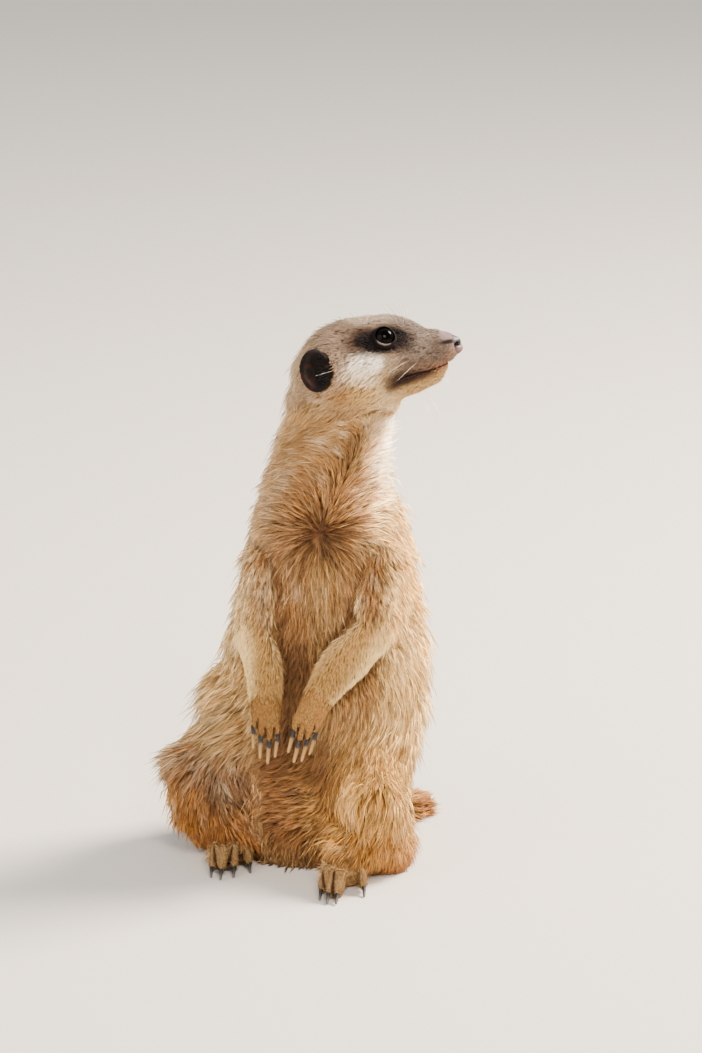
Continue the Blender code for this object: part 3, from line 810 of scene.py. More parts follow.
# %% Masks and paint
def linear(hex_colour):
    """Linear colour from an sRGB hex value."""
    channels = np.array([int(hex_colour[n:n + 2], 16) for n in (1, 3, 5)]) / 255
    return np.where(channels <= 0.04045, channels / 12.92, ((channels + 0.055) / 1.055) ** 2.4)


def ripple(points, size, shift=0.0):
    """Smooth noise from -1 to 1 with waves of a size in millimetres."""
    offset = Vector((shift, shift, shift))
    return np.array([noise.noise(Vector(point) / size + offset) for point in points.tolist()])


points = points_of(skin.data)
normals = normals_of(skin.data)
edges = edges_of(skin.data)
zones = zones_at(points, edges, 8)
head = in_head(points)
x, y, z = points.T
ragged = ripple(points, 3.0)
cloudy = ripple(points, 11.0, 5.0)
back, sideways, up = head[:, 0], np.abs(head[:, 1]), head[:, 2]


def zone(*names):
    return np.clip(sum(zones[:, ZONE[name]] for name in names), 0, 1)


def oval(values, centre, radii, blur=0.25):
    """1 inside an oval given by coordinates, centre and radii, and ragged at the edge."""
    place = np.sqrt(sum(((v - c) / r) ** 2 for v, c, r in zip(values, centre, radii)))
    return 1 - smoothstep(1 - blur, 1 + blur, place + 0.12 * ragged)


colour = np.tile(linear("#C29A6A"), (len(points), 1))


def paint(hex_colour, mask):
    global colour
    mask = np.clip(mask, 0, 1)[:, None]
    colour = colour * (1 - mask) + linear(hex_colour) * mask


def heights(low, high, blur):
    """1 between two heights."""
    return within(low, high, z, blur)


def facings(low, high, blur):
    """1 where the skin faces between two directions, in degrees to the animal's left of straight ahead."""
    return within(low, high, facing, blur)


def widths(low, high, blur):
    """1 between two places across the body."""
    return within(low, high, x, blur)


def spot(centre, radii, blur):
    """1 on an oval patch, as seen from the front."""
    return oval((x, z), centre, radii, blur)


CHEST_MIDDLE = middle_of("chest")
WHORL = np.array([CHEST_MIDDLE[0] - 1.5, 0, 168.0])
facing = np.degrees(np.arctan2(normals[:, 0], -normals[:, 1]))  # 0 in front, positive to the animal's left
front = 1 - smoothstep(60, 110, np.abs(facing))
rear = smoothstep(95, 135, np.abs(facing))
body = zone("neck", "trunk", "thighs", "shanks", "upper_arms")
# sunk and dent: how far the skin lies below its smoothed surface; dents are painted darker below as painted
# shade
sunk = np.sum((spread(points, edges, 30) - points) * normals, axis=1)
dent = smoothstep(0.10, 0.75, sunk) * (1 - zone("head", "ears"))

# the trunk, from above downwards
paint("#D2B084", body * smoothstep(-0.1, 0.6, cloudy) * 0.6)
paint("#AE8458", body * smoothstep(-0.1, 0.6, -cloudy) * 0.45)
paint("#AA8050", body * heights(190, 250, 14) * facings(-120, 25, 16) * 0.7)  # tan side of the neck
paint("#B79C84", body * heights(178, 262, 16) * facings(-190, -70, 22) * 0.7)  # greyer nape
paint("#8E6234", body * heights(192, 236, 10) * facings(-60, 24, 14) * smoothstep(-0.5, 0.3, cloudy) * 0.75)
# painted highlight: throat and chest painted paler on the side the light falls on
paint("#FAEEDA", body * heights(178, 250, 12) * facings(36, 150, 12) * 0.95)  # throat on the sunny side
paint("#FADAA4", body * heights(100, 186, 14) * facings(28, 150, 14) * 0.95)  # sunny side of the chest
# painted rim light along the edge of that side, over the coat's golden colour
paint("#F8C478", body * heights(60, 170, 14) * facings(62, 110, 14) * 0.8)  # its golden edge
paint("#E8C88E", body * heights(30, 108, 14) * facings(26, 130, 16) * 0.8)  # left flank
paint("#D6BC8E", body * heights(62, 150, 14) * facings(-150, -30, 16) * 0.9)  # right flank
paint("#C4A684", body * heights(140, 200, 12) * facings(-120, -26, 14) * 0.7)  # right shoulder
paint("#9C683C", body * heights(92, 196, 12) * facings(-34, 22, 12) * 0.75)  # middle of chest and belly
paint("#7E5433", body * spot((WHORL[0], WHORL[2]), (6.5, 6), 0.7) * front * 0.65)  # whorl
paint("#8E6440", body * spot((WHORL[0] - 3, WHORL[2] - 22), (4, 24), 0.7) * front * 0.6)
paint("#C09A66", body * heights(108, 160, 10) * widths(0, 14, 6) * front * 0.6)
# painted shade deep between the arms
paint("#6C462C", body * heights(64, 120, 10) * widths(-17, 1, 5) * front * 0.85)  # between the arms
paint("#C8A472", body * heights(56, 106, 8) * widths(-74, -20, 8) * front * 0.8)
paint("#96663F", zone("thighs", "shanks", "trunk") * heights(14, 56, 7) * widths(-66, -24, 7) * front * 0.75)
paint("#B98B58", body * heights(10, 66, 8) * widths(-6, 16, 6) * front * 0.8)
paint("#8C5226", body * heights(14, 64, 8) * widths(-20, 2, 7) * front * 0.85)  # low belly
# painted shade on the belly under the hands
paint("#6E4428", body * heights(46, 74, 8) * widths(-18, 14, 6) * front * 0.7)
# painted shade low under the right haunch, next to the right foot
paint("#7A5232", zone("thighs", "shanks", "trunk") * heights(4, 26, 8) * widths(-46, -20, 8) * front * 0.55)
paint("#B98A5A", body * heights(6, 66, 5) * widths(-24.0, -20.5, 1.6) * front * 0.85)  # ridge of hair
paint("#8F7360", body * spot((-46, 44), (16, 15), 0.6) * front * 0.8)  # thin hair inside the thigh
paint("#C8964E", zone("thighs", "shanks", "trunk") * spot((30, 46), (26, 24), 0.8) * (1 - rear) * 0.9)
paint("#74462A", body * spot((8, 54), (8, 14), 0.7) * front * 0.75)  # shade under the left hand
hem = body * (1 - smoothstep(8, 44, z + 0.10 * np.abs(x)))
paint("#BE7430", hem * facings(-100, 100, 20) * (np.abs(x + 10) > 16) * 0.9)
paint("#BE7E3C", body * widths(-80, -52, 5) * heights(8, 44, 8) * 0.6)  # orange rim of the right haunch
# painted shade where the coat meets the floor between the feet
paint("#7A5232", body * (1 - smoothstep(3, 12, z)) * widths(-22, 30, 6) * 0.8)
paint("#7E4420", body * spot((52, 10), (10, 12), 0.6) * (1 - rear) * 0.8)
paint("#BC8844", body * spot((24, 24), (17, 17), 0.7) * (1 - rear) * 0.8)  # golden hem over the left foot
for place in (at("abdomen", 0.225, 0, 0.68), at("abdomen", 0.25, 0, 0.42), at("abdomen", 0.50, 0, 0.36)):
    paint("#5E4238", body * spot((place[0], place[2]), (1.8, 2.2), 0.5) * front)
bands = smoothstep(0.25, 0.8, np.sin((z + 2.2 * ragged + 3 * cloudy) * 2 * pi / 14.5))
streak = ripple(points * [1, 1, 0.28], 2.6, 9.0)
round_whorl = spot((WHORL[0], WHORL[2] - 4), (13, 16), 0.5)
plain = np.maximum(round_whorl, heights(0, 128, 8) * widths(-23, 12, 5)) * front
streaked = body * smoothstep(10, 30, z) * (1 - plain) * (1 - 0.6 * spot((30, 46), (26, 24), 0.8))
paint("#A4682F", streaked * smoothstep(0.10, 0.45, streak) * 0.45)  # rusty and bleached streaks
paint("#FBE9C8", streaked * smoothstep(0.10, 0.45, -streak) * 0.34)
crease = np.exp(-((x + 15 + 0.08 * (z - 122)) / 1.4) ** 2) * heights(120, 160, 5) * front
beside_crease = np.exp(-((x + 20 + 0.08 * (z - 122)) / 2.6) ** 2)
paint("#E2CCAA", body * beside_crease * heights(118, 148, 6) * front * 0.5)
# painted shade in the fold between chest and right arm
paint("#5E3C24", body * crease * 0.85)  # fold between chest and right arm
paint("#5A3C28", body * spot((WHORL[0], WHORL[2] - 1.5), (3.6, 4.6), 0.8) * front * 0.85)
paint("#A89474", body * rear * 0.75)
paint("#33261C", body * rear * bands * heights(38, 178, 8) * 0.92)

seam = np.interp(z, [168, 195, 225, 243], [-5, 10, 36, 66])  # where the coat parts, by height
paint("#644328", zone("neck", "trunk") * heights(196, 246, 6) * np.exp(-((facing - seam) / 3.0) ** 2) * 0.85)

# limbs and tail
paint("#C09468", zone("upper_arms") * (1 - smoothstep(110, 150, z)) * 0.6)
blurred_hands = smoothstep(0.04, 0.75, spread(zone("hands"), edges, 90))
outer = facing * np.where(x > CHEST_MIDDLE[0] - 8, 1, -1)
paint("#B98C52", zone("forearms", "hands") * 0.9)
# painted rim light: the outer side of each forearm painted pale yellow
paint("#FFE4A6", zone("forearms") * smoothstep(0, 45, outer) * 0.9)  # yellowish outer rim
paint("#D2B48C", zone("forearms") * smoothstep(15, 60, -outer) * 0.6)
arm_streaks = smoothstep(0.1, 0.5, ripple(points * [1, 1, 3.2], 3.2, 3.0))
paint("#A07448", zone("forearms", "upper_arms") * arm_streaks * 0.5)
wrists = zone("forearms") * (1 - smoothstep(98, 126, z))
paint("#A67C46", wrists * (1 - 0.45 * smoothstep(10, 45, outer)) * 0.9)
paint("#9C7240", blurred_hands)
paint("#866234", blurred_hands * smoothstep(0, -12, x + 8) * 0.7)  # the right hand is in shade
claw_gap = nearest(points, [claw_line(node)[0] for node in CLAWS if "hind" in node])
instep = zone("feet") * smoothstep(9, 14, claw_gap)  # the hem of the shank falls over the foot
paint("#90724A", zone("feet") * (1 - instep))
paint("#6A5238", zone("feet") * widths(34, 47, 3) * (1 - smoothstep(3, 6, z)) * 0.7)  # outermost pad
# painted shade in dents and creases, weaker low on the belly and the left thigh
dent *= 1 - 0.7 * widths(-10, 40, 6) * (1 - smoothstep(60, 75, z))
paint("#6F4527", body * dent * 0.8)
# painted shade where the arms meet the trunk
arm_border = 4 * zone("upper_arms", "forearms") * zone("trunk") * (1 - smoothstep(50, 80, np.abs(facing)))
paint("#70482A", arm_border * smoothstep(0.0, 0.25, dent) * 0.8)
# painted shade in the dents of the forearms, hands and feet
paint("#7A5230", zone("forearms") * dent * 0.6)
paint("#3E2618", zone("hands", "feet") * smoothstep(0.35, 0.95, dent))
DIGIT_GAPS = digit_gaps(points) * zone("hands", "feet")
# painted shade in the gaps between the digits, over the grooves cut there
paint("#3C2A1E", smoothstep(0.25 - 0.1 * zone("feet"), 0.8 - 0.25 * zone("feet"), DIGIT_GAPS))
paint("#B39468", zone("tail"))
paint("#9A6230", zone("tail") * smoothstep(38, 50, x))  # its bend is browner
paint("#1E1512", zone("tail") * smoothstep(8, -14, x) * smoothstep(52, 62, y))

# %% Paint the head
EARS = ear_share(points)
HEAD = zone("head", "ears") * (1 - EARS)
HEAD_BLEND = spread(HEAD, edges, 50)


def from_nose(low, high, blur):
    """1 between two distances behind the nose tip."""
    return within(low, high, back, blur)


def face_spot(centre, radii, blur=0.25):
    """1 on an oval patch on each side of the head."""
    return HEAD * oval((back, up), centre, radii, blur)


face = smoothstep(0.35, 0.95, HEAD_BLEND)
paint("#AC937E", face)
paint("#776050", face * smoothstep(4, 14, up))  # crown
paint("#7C6C62", face * smoothstep(-0.1, 0.5, cloudy) * smoothstep(4, 14, up) * 0.6)
paint("#CEBBA9", face_spot((35, 19), (14, 3.6), 0.4) * 0.5)  # brow
paint("#A98F7E", face_spot((56, 8), (9, 8), 0.6) * 0.8)
paint("#A68C70", face * smoothstep(58, 76, back) * 0.6)  # temple
paint("#A87A48", face * from_nose(38, 64, 8) * (1 - smoothstep(-12, -4, up)) * 0.95)  # tan jaw
paint("#CCA672", HEAD * from_nose(34, 52, 6) * (1 - smoothstep(-8, 0, up)) * 0.8)  # lower cheek
below_jaw = HEAD * (1 - smoothstep(-13, -8, up)) * smoothstep(10, 22, back)
paint("#E6CDA4", below_jaw * (1 - smoothstep(34, 46, back)) * 0.9)
paint("#B48E5C", HEAD * (lip_distance(head) < -1.6) * (1 - smoothstep(26, 40, back)) * 0.9)  # chin
paint("#76685F", HEAD * from_nose(0, 27, 5) * smoothstep(-7.5, -4, up) * 0.9)
paint("#6E5548", HEAD * from_nose(0, 30, 6) * within(-8, -2, up, 2) * 0.75)  # muzzle
paint("#8E7E76", HEAD * from_nose(0, 30, 5) * smoothstep(4, 8, up) * 0.8)
paint("#FFF9F0", face_spot((42.8, 0.6), (7.8, 5.6), 0.25))
paint("#F1E2CC", HEAD * oval((back - 0.9 * up, up), (51, -4.5), (7, 5), 0.5) * 0.8)  # its trailing edge
patch_height = up - (9.6 + 0.06 * (back - 34))
paint("#4A342B", HEAD * oval((back, patch_height), (36.5, -0.8), (15.5, 6.6), 0.3) * 0.8)
paint("#0F0807", HEAD * oval((back, patch_height), (34.5, -0.4), (12.2, 5.8), 0.18))
paint("#2A1B18", face_spot((25.5, 5.2), (5.5, 3.8), 0.45) * 0.75)  # smear before the eye
PAD_SPOTS = [(20.7, 1.2), (25.3, -1.3), (14.9, -0.5), (18.0, -2.2), (22.2, -3.2), (12.0, -2.8), (16.6, 2.2)]
for whisker_root in PAD_SPOTS:
    paint("#33251F", face_spot(whisker_root, (0.9, 0.7), 0.5) * 0.85)
lips = (1 - smoothstep(33, 38, back)) * smoothstep(3, 6, back)
paint("#9C5B3C", HEAD * np.exp(-((lip_distance(head) + 0.3) / 1.5) ** 2) * lips * 0.8)
paint("#3A211A", HEAD * np.exp(-((lip_distance(head) + 0.9) / 2.8) ** 2) * from_nose(13, 36, 4) * 0.95)
paint("#2E1D17", face_spot((27.5, -9.4), (8.5, 3.2), 0.5) * 0.85)
paint("#2A1511", HEAD * np.exp(-((lip_distance(head) + 0.2) / 0.5) ** 2) * lips)
# painted shade on the muzzle behind the nostrils
paint("#4E3E38", face_spot((9.5, 1.5), (4.0, 4.0), 0.6) * 0.6)
paint("#8A7E82", HEAD * (1 - smoothstep(7.5, 10, back)) * smoothstep(3.5, 5.5, up))  # bare top of the nose
# painted shade: the slits that run back from the nostrils, darkened on the skin
paint("#1C0F0E", face_spot((5.4, 3.0), (4.0, 1.0), 0.4))  # nostrils run out backwards
paint("#8A6C5C", HEAD * (1 - smoothstep(4.5, 7.5, back)) * (1 - smoothstep(-2, 1, up)) * 0.8)
for side_name in EYE_MIDDLES:
    a, b, c, place = eye_places(points, side_name)
    by_eye = (c > 0) & (place < 2)
    paint("#0E0908", by_eye * within(0, 1.22, place, 0.06))  # dark lids
    # painted reflection: a pale crescent on the wet rim of each lower lid
    lower_rim = by_eye * within(0.98, 1.07, place, 0.025) * smoothstep(-0.5, -2.5, b)
    paint("#9E949A", lower_rim * within(-3.6, 2.5, a, 0.8) * 0.9)
paint("#0D0706", EARS)
paint("#3A1A10", EARS * (HEAD < 0.5) * smoothstep(66, 73, back) * smoothstep(0.1, -0.5, ragged) * 0.7)
ear_gap = nearest(points, [middle_of("ear_left"), middle_of("ear_right")])
paint("#6B5446", HEAD * (1 - smoothstep(8.5, 13, ear_gap)) * 0.4)
add_attribute(skin.data, "markings_and_painted_light", np.column_stack([colour, np.ones(len(colour))]), "FLOAT_COLOR")
print("painted", len(colour), "points")

# %% [markdown]
# ## The lie of the coat
#
# Hair grows along streams. On the chest they spring from a whorl: above it they part at a seam that runs up
# to the throat and arch over to both sides, below it they fan out and run down. Over the right flank they
# sweep out to the haunch, across the low belly they run sideways to a thin ridge, over the left knee they
# turn forward and down, and on the head they lie back from the nose. The streams are mixed from simple
# directions, laid flat and blurred.

# %% Mix the streams
flat_up = unit(np.array([0, 0, 1.0]) - normals * normals[:, 2:3])
flat_side = unit(np.cross([0, 0, 1.0], normals))
stream = np.zeros_like(points)


def mix(direction, weight):
    """Lets a direction take over where its weight is 1."""
    global stream
    weight = np.clip(weight, 0, 1)[:, None]
    stream = stream * (1 - weight) + np.asarray(direction) * weight


off_seam = facing - seam
arch = np.radians(np.interp(np.abs(off_seam), [0, 15, 40, 75, 115, 180], [22, 58, 96, 136, 165, 178]))
outward = np.clip(off_seam / 7, -1, 1)[:, None]
above_whorl = flat_up * np.cos(arch)[:, None] + flat_side * outward * np.sin(arch)[:, None]
below_whorl = -flat_up + flat_side * (0.2 * np.clip(facing / 40, -1, 1))[:, None]
mix(below_whorl, np.ones(len(points)))
mix(above_whorl, smoothstep(150, 182, z))
from_whorl = (points - WHORL) * [1, 0, 1]
mix(unit(from_whorl), 0.75 * np.exp(-(np.linalg.norm(from_whorl, axis=1) / 12) ** 2) * front)
sweep = np.radians(np.interp(z, [20, 35, 50, 62, 76, 92, 112, 132], [-12, 12, 42, 62, 60, 42, 25, 12]))
mix(np.column_stack([-np.sin(sweep), 0.1 * np.ones_like(z), -np.cos(sweep)]),
    smoothstep(-8, -30, x) * (1 - rear) * within(10, 128, z, 12) * 0.9)
mix([0.5, 0, -0.85], within(10, 52, z, 6) * within(-44, -23, x, 4) * front)
mix([-1, 0, -0.1], within(20, 62, z, 5) * within(-20, 9, x, 4) * front)
lean = np.radians(np.interp(x, [0, 10, 24, 40, 56, 72], [-66, -50, -30, -8, 8, 14]))
lean *= 1 - 0.6 * smoothstep(46, 84, z)
forward = -1.6 * (1 - smoothstep(48, 66, x)) * smoothstep(20, 50, z)
mix(unit(np.column_stack([np.sin(lean), forward, -np.cos(lean)])),
    (1 - smoothstep(72, 100, z)) * smoothstep(-2, 10, x) * (1 - rear) * 0.9)


def down_limb(first, second, weight, lean=(0, 0, 0)):
    mix(unit(middle_of(second) - middle_of(first)) + np.array(lean), weight)


for side_name, side_sign in (("left", 1), ("right", -1)):
    here = smoothstep(-2, 2, side_sign * (x - CHEST_MIDDLE[0] + 8))
    upper_arm, forearm, forepaw = (f"{part}_{side_name}" for part in ("upper_arm", "forearm", "forepaw"))
    down_limb(upper_arm, forearm, zone("upper_arms") * here * 0.8, (0.25 * side_sign, 0, 0))
    down_limb(forearm, forepaw, zone("forearms") * here, (0.45 * side_sign, 0, 0))
    down_limb(forearm, forepaw, zone("hands") * here)
    down_limb(f"hind_foot_{side_name}", f"claw_hind_{side_name}_2", zone("feet") * here)
TAIL_WAY = [("tail_base", 0.05, 0.2), ("tail_base", 0.65, 0.35), ("tail_base", 0.7, 0.8),
            ("tail_mid", 0.75, 0.4), ("tail_mid", 0.3, 0.72),
            ("tail_tip", 0.95, 0.45), ("tail_tip", 0.5, 0.6), ("tail_tip", 0.02, 0.4)]
tail_line = np.array([at(*place, 0.5) for place in TAIL_WAY])
middles = (tail_line[:-1] + tail_line[1:]) / 2
nearest_run = np.argmin(np.linalg.norm(points[:, None] - middles[None], axis=2), axis=1)
mix(unit(np.diff(tail_line, axis=0))[nearest_run], zone("tail"))
backwards = -AHEAD - CROWN * (0.55 * smoothstep(30, 60, back) * smoothstep(10, 0, up) + 0.12)[:, None]
mix(backwards, np.clip(HEAD * 1.3, 0, 1))
for eye in EYE_MIDDLES.values():
    mix(unit(points - eye) - AHEAD * 0.5, HEAD * near(points, eye, 13) * 0.8)
for side_name in ("left", "right"):
    ear = middle_of(f"ear_{side_name}")
    mix(unit(points - ear) * 0.4 - AHEAD, EARS * near(points, ear, 40))
stream = unit(stream - normals * np.sum(stream * normals, axis=1, keepdims=True))
stream = spread(stream, edges, 5)
stream = unit(stream - normals * np.sum(stream * normals, axis=1, keepdims=True))

# %% Length, rise and closeness of the coat
HAIR_LENGTH = {
    "head": 4.6, "ears": 1.1, "neck": 9.5, "trunk": 13.0, "upper_arms": 7.0, "forearms": 4.2, "hands": 2.2,
    "thighs": 12.0, "shanks": 10.0, "feet": 1.8, "tail": 7.5,
}
length = zones @ np.array([HAIR_LENGTH[name] for name in ZONES])
rise = depth_at(points, normals, zones) * 0.92 + 0.25
blended = np.column_stack([length, rise])
blends = 1 - smoothstep(0, 0.2, zone("hands", "feet", "ears"))
blended = blended + (spread(blended, edges, 160) - blended) * blends[:, None]
length, rise = blended.T
length *= 1 - 0.5 * HEAD * (1 - smoothstep(16, 42, back))
length *= 1 + 0.5 * face * smoothstep(48, 66, back) * smoothstep(8, -6, up)  # ruff behind the cheek
for eye in EYE_MIDDLES.values():
    length *= 1 - 0.6 * near(points, eye, 15)
length *= 1 + 0.30 * body * within(45, 120, z, 15) * smoothstep(20, 45, np.abs(x - 2))  # shaggy flanks
length *= 1 + 0.25 * body * within(52, 96, z, 8) * smoothstep(-30, -48, x) * (1 - rear)  # swept tips
length *= 1 + 0.5 * smoothstep(0.1, 0.6, HEAD_BLEND) * smoothstep(62, 78, back)  # nape
rise *= 1 + 0.45 * body * within(80, 175, z, 12) * within(65, 125, facing, 15)  # open edge of the left flank
rise *= 1 - 0.35 * within(212, 252, z, 8) * within(25, 140, facing, 15)  # sleek throat
length *= 1 - 0.35 * body * within(20, 60, z, 5) * within(-20, 10, x, 4) * front  # short belly
length *= 1 - 0.45 * body * oval((x, z), (-44, 44), (17, 15), 0.6) * front
length *= 1 - 0.30 * np.clip(arm_border, 0, 1)
for side_name in ("left", "right"):
    ear_gap = np.linalg.norm(points - middle_of(f"ear_{side_name}"), axis=1)
    length *= 1 - 0.5 * HEAD * (1 - smoothstep(10, 15, ear_gap))
length *= 1 - 0.40 * dent
rise *= 1 - 0.45 * dent
rise *= 1 - 0.5 * zone("hands", "feet")
length += 5.0 * instep
rise += 0.6 * instep
eye_gap = nearest(points, EYE_MIDDLES.values())
nose_gap = np.linalg.norm((in_head(points) - in_head(NOSE_MIDDLE)) / [1.0, 1.0, 1.05], axis=1)
lip_gap = np.abs(lip_distance(head) + 0.2)
closeness = np.ones(len(points))
closeness *= smoothstep(EYE_RADIUS + 0.3, EYE_RADIUS + 1.4, eye_gap) * smoothstep(5.4, 6.4, nose_gap)
closeness *= 1 - HEAD * (1 - smoothstep(8, 10, back)) * smoothstep(4.0, 5.5, up)
closeness *= 1 - HEAD * (lip_gap < 0.7) * (back < 35)
closeness *= 1 - HEAD * oval((back, up), (5.4, 3.0), (4.2, 1.3), 0.1)
closeness *= 1 - smoothstep(0.15, 0.45, DIGIT_GAPS)
closeness *= np.where((normals[:, 2] < -0.75) & (z < 9), 0.0, 1.0)
add_attribute(skin.data, "stream", stream, "FLOAT_VECTOR")
add_attribute(skin.data, "hair_length", length * MM)
add_attribute(skin.data, "rise", rise * MM)
print("hair", length.min().round(1), "to", length.max().round(1), "mm long")

# %% [markdown]
# ## Tufts
#
# Real guard hairs stand in small locks that share a direction and close a little towards their tips. A lock
# here is a few thin closed spindles, in a unit space that the coat stretches later: one unit wide, one
# long, one high. A hair starts at a point inside the coat, is widest where it bends over, and ends in a
# fine tip.

# %% Make the tufts
def tuft(name, hairs, bend, spread_wide, half_wide, closing, kinds, seed):
    """A lock of closed three-sided hairs, which bend and close by shares of their length and spread."""
    draw = np.random.default_rng(seed)
    rows, faces, along, strand, patch = [], [], [], [], []
    for number in range(hairs):
        place = (number + 0.5) / hairs * 2 - 1
        root_x = place * spread_wide + draw.uniform(-0.12, 0.12)
        root_y = draw.uniform(-0.25, 0.25)
        reach = draw.uniform(0.68, 1.05)
        high = draw.uniform(0.65, 1.1)
        curl = draw.uniform(-0.30, 0.30)
        wide = half_wide * draw.uniform(0.8, 1.25)
        base = len(rows)
        height = high * (1 - (1 - bend) ** 2.1)
        middle = np.array([root_x * (1 - closing * bend) + curl * bend ** 2, root_y + reach * bend, height])
        rows.append((root_x, root_y, -0.15))
        rows += [middle + (-wide, 0, 0), middle + (wide, 0, 0), middle + (0, 0, 0.075)]
        rows.append((root_x * (1 - closing) + curl, root_y + reach, high))
        along += [0.0, bend, bend, bend, 1.0]
        strand += [draw.uniform(*kinds)] * 5
        patch += [((number + 0.5) / hairs, share) for share in along[base:]]
        faces += [(base, base + 1 + k, base + 1 + (k + 1) % 3) for k in range(3)]
        faces += [(base + 4, base + 1 + (k + 1) % 3, base + 1 + k) for k in range(3)]
    made = new_object(name, np.array(rows) / MM, faces)
    face_outwards(made)
    add_attribute(made.data, "along", along)
    add_attribute(made.data, "strand", strand)
    add_attribute(made.data, "patch", np.pad(patch, ((0, 0), (0, 1))), "FLOAT_VECTOR")
    made.data.shade_smooth()
    return made


VARIANTS = 6  # different tufts of each kind


def lock_set(name, **sizes):
    """A collection of tufts for the coat to pick from."""
    found = bpy.data.collections.new(name)
    for number in range(VARIANTS):
        made = tuft(f"{name}_{number}", seed=100 + number, **sizes)
        bpy.context.scene.collection.objects.unlink(made)
        found.objects.link(made)
    return found


LONG_LOCKS = lock_set("long_lock", hairs=6, bend=0.42, spread_wide=0.9, half_wide=0.17, closing=0.45,
                      kinds=(0, 1))
SHORT_LOCKS = lock_set("short_lock", hairs=4, bend=0.35, spread_wide=0.9, half_wide=0.22, closing=0.25,
                       kinds=(0.4, 0.9))
STRAY_HAIRS = lock_set("stray_hair", hairs=1, bend=0.5, spread_wide=0.5, half_wide=0.15, closing=0.0,
                       kinds=(0.5, 1))

# %% [markdown]
# ## The coat as a Geometry Nodes tree
#
# Points are scattered on the skin, as close as the skin's own mask says. A lock is placed on each, its
# length along the stream, its height along the skin's normal, with a little stray and long slow waves so
# that locks gather and part as real ones do. Each lock remembers its place on the skin's unwrap, where it
# gets a patch of its own.

# %% Build the tree
def fill(tree, node, inputs):
    """Links or sets the inputs of a node."""
    for key, value in inputs.items():
        if isinstance(value, bpy.types.NodeSocket):
            tree.links.new(value, node.inputs[key])
        else:
            node.inputs[key].default_value = value


def add_node(tree, kind, inputs=None, **settings):
    """Adds a node, sets it and fills its inputs."""
    made = tree.nodes.new(kind)
    for name, value in settings.items():
        setattr(made, name, value)
    fill(tree, made, inputs or {})
    return made


def node_value(tree, kind, inputs=None, **settings):
    """Adds a node and gives its first result."""
    return add_node(tree, kind, inputs, **settings).outputs[0]


PATCH = 0.003  # width of a lock's patch on the unwrap
COAT_INPUTS = {
    "Skin": "Geometry", "Locks": "Collection", "Finish": "Material", "Locks per Square Metre": "Float",
    "Lock Width": "Float", "Longer": "Float", "Higher": "Float", "Unlike": "Float", "Stray": "Float",
    "Wave": "Float", "Wave Size": "Float", "Seed": "Int",
}


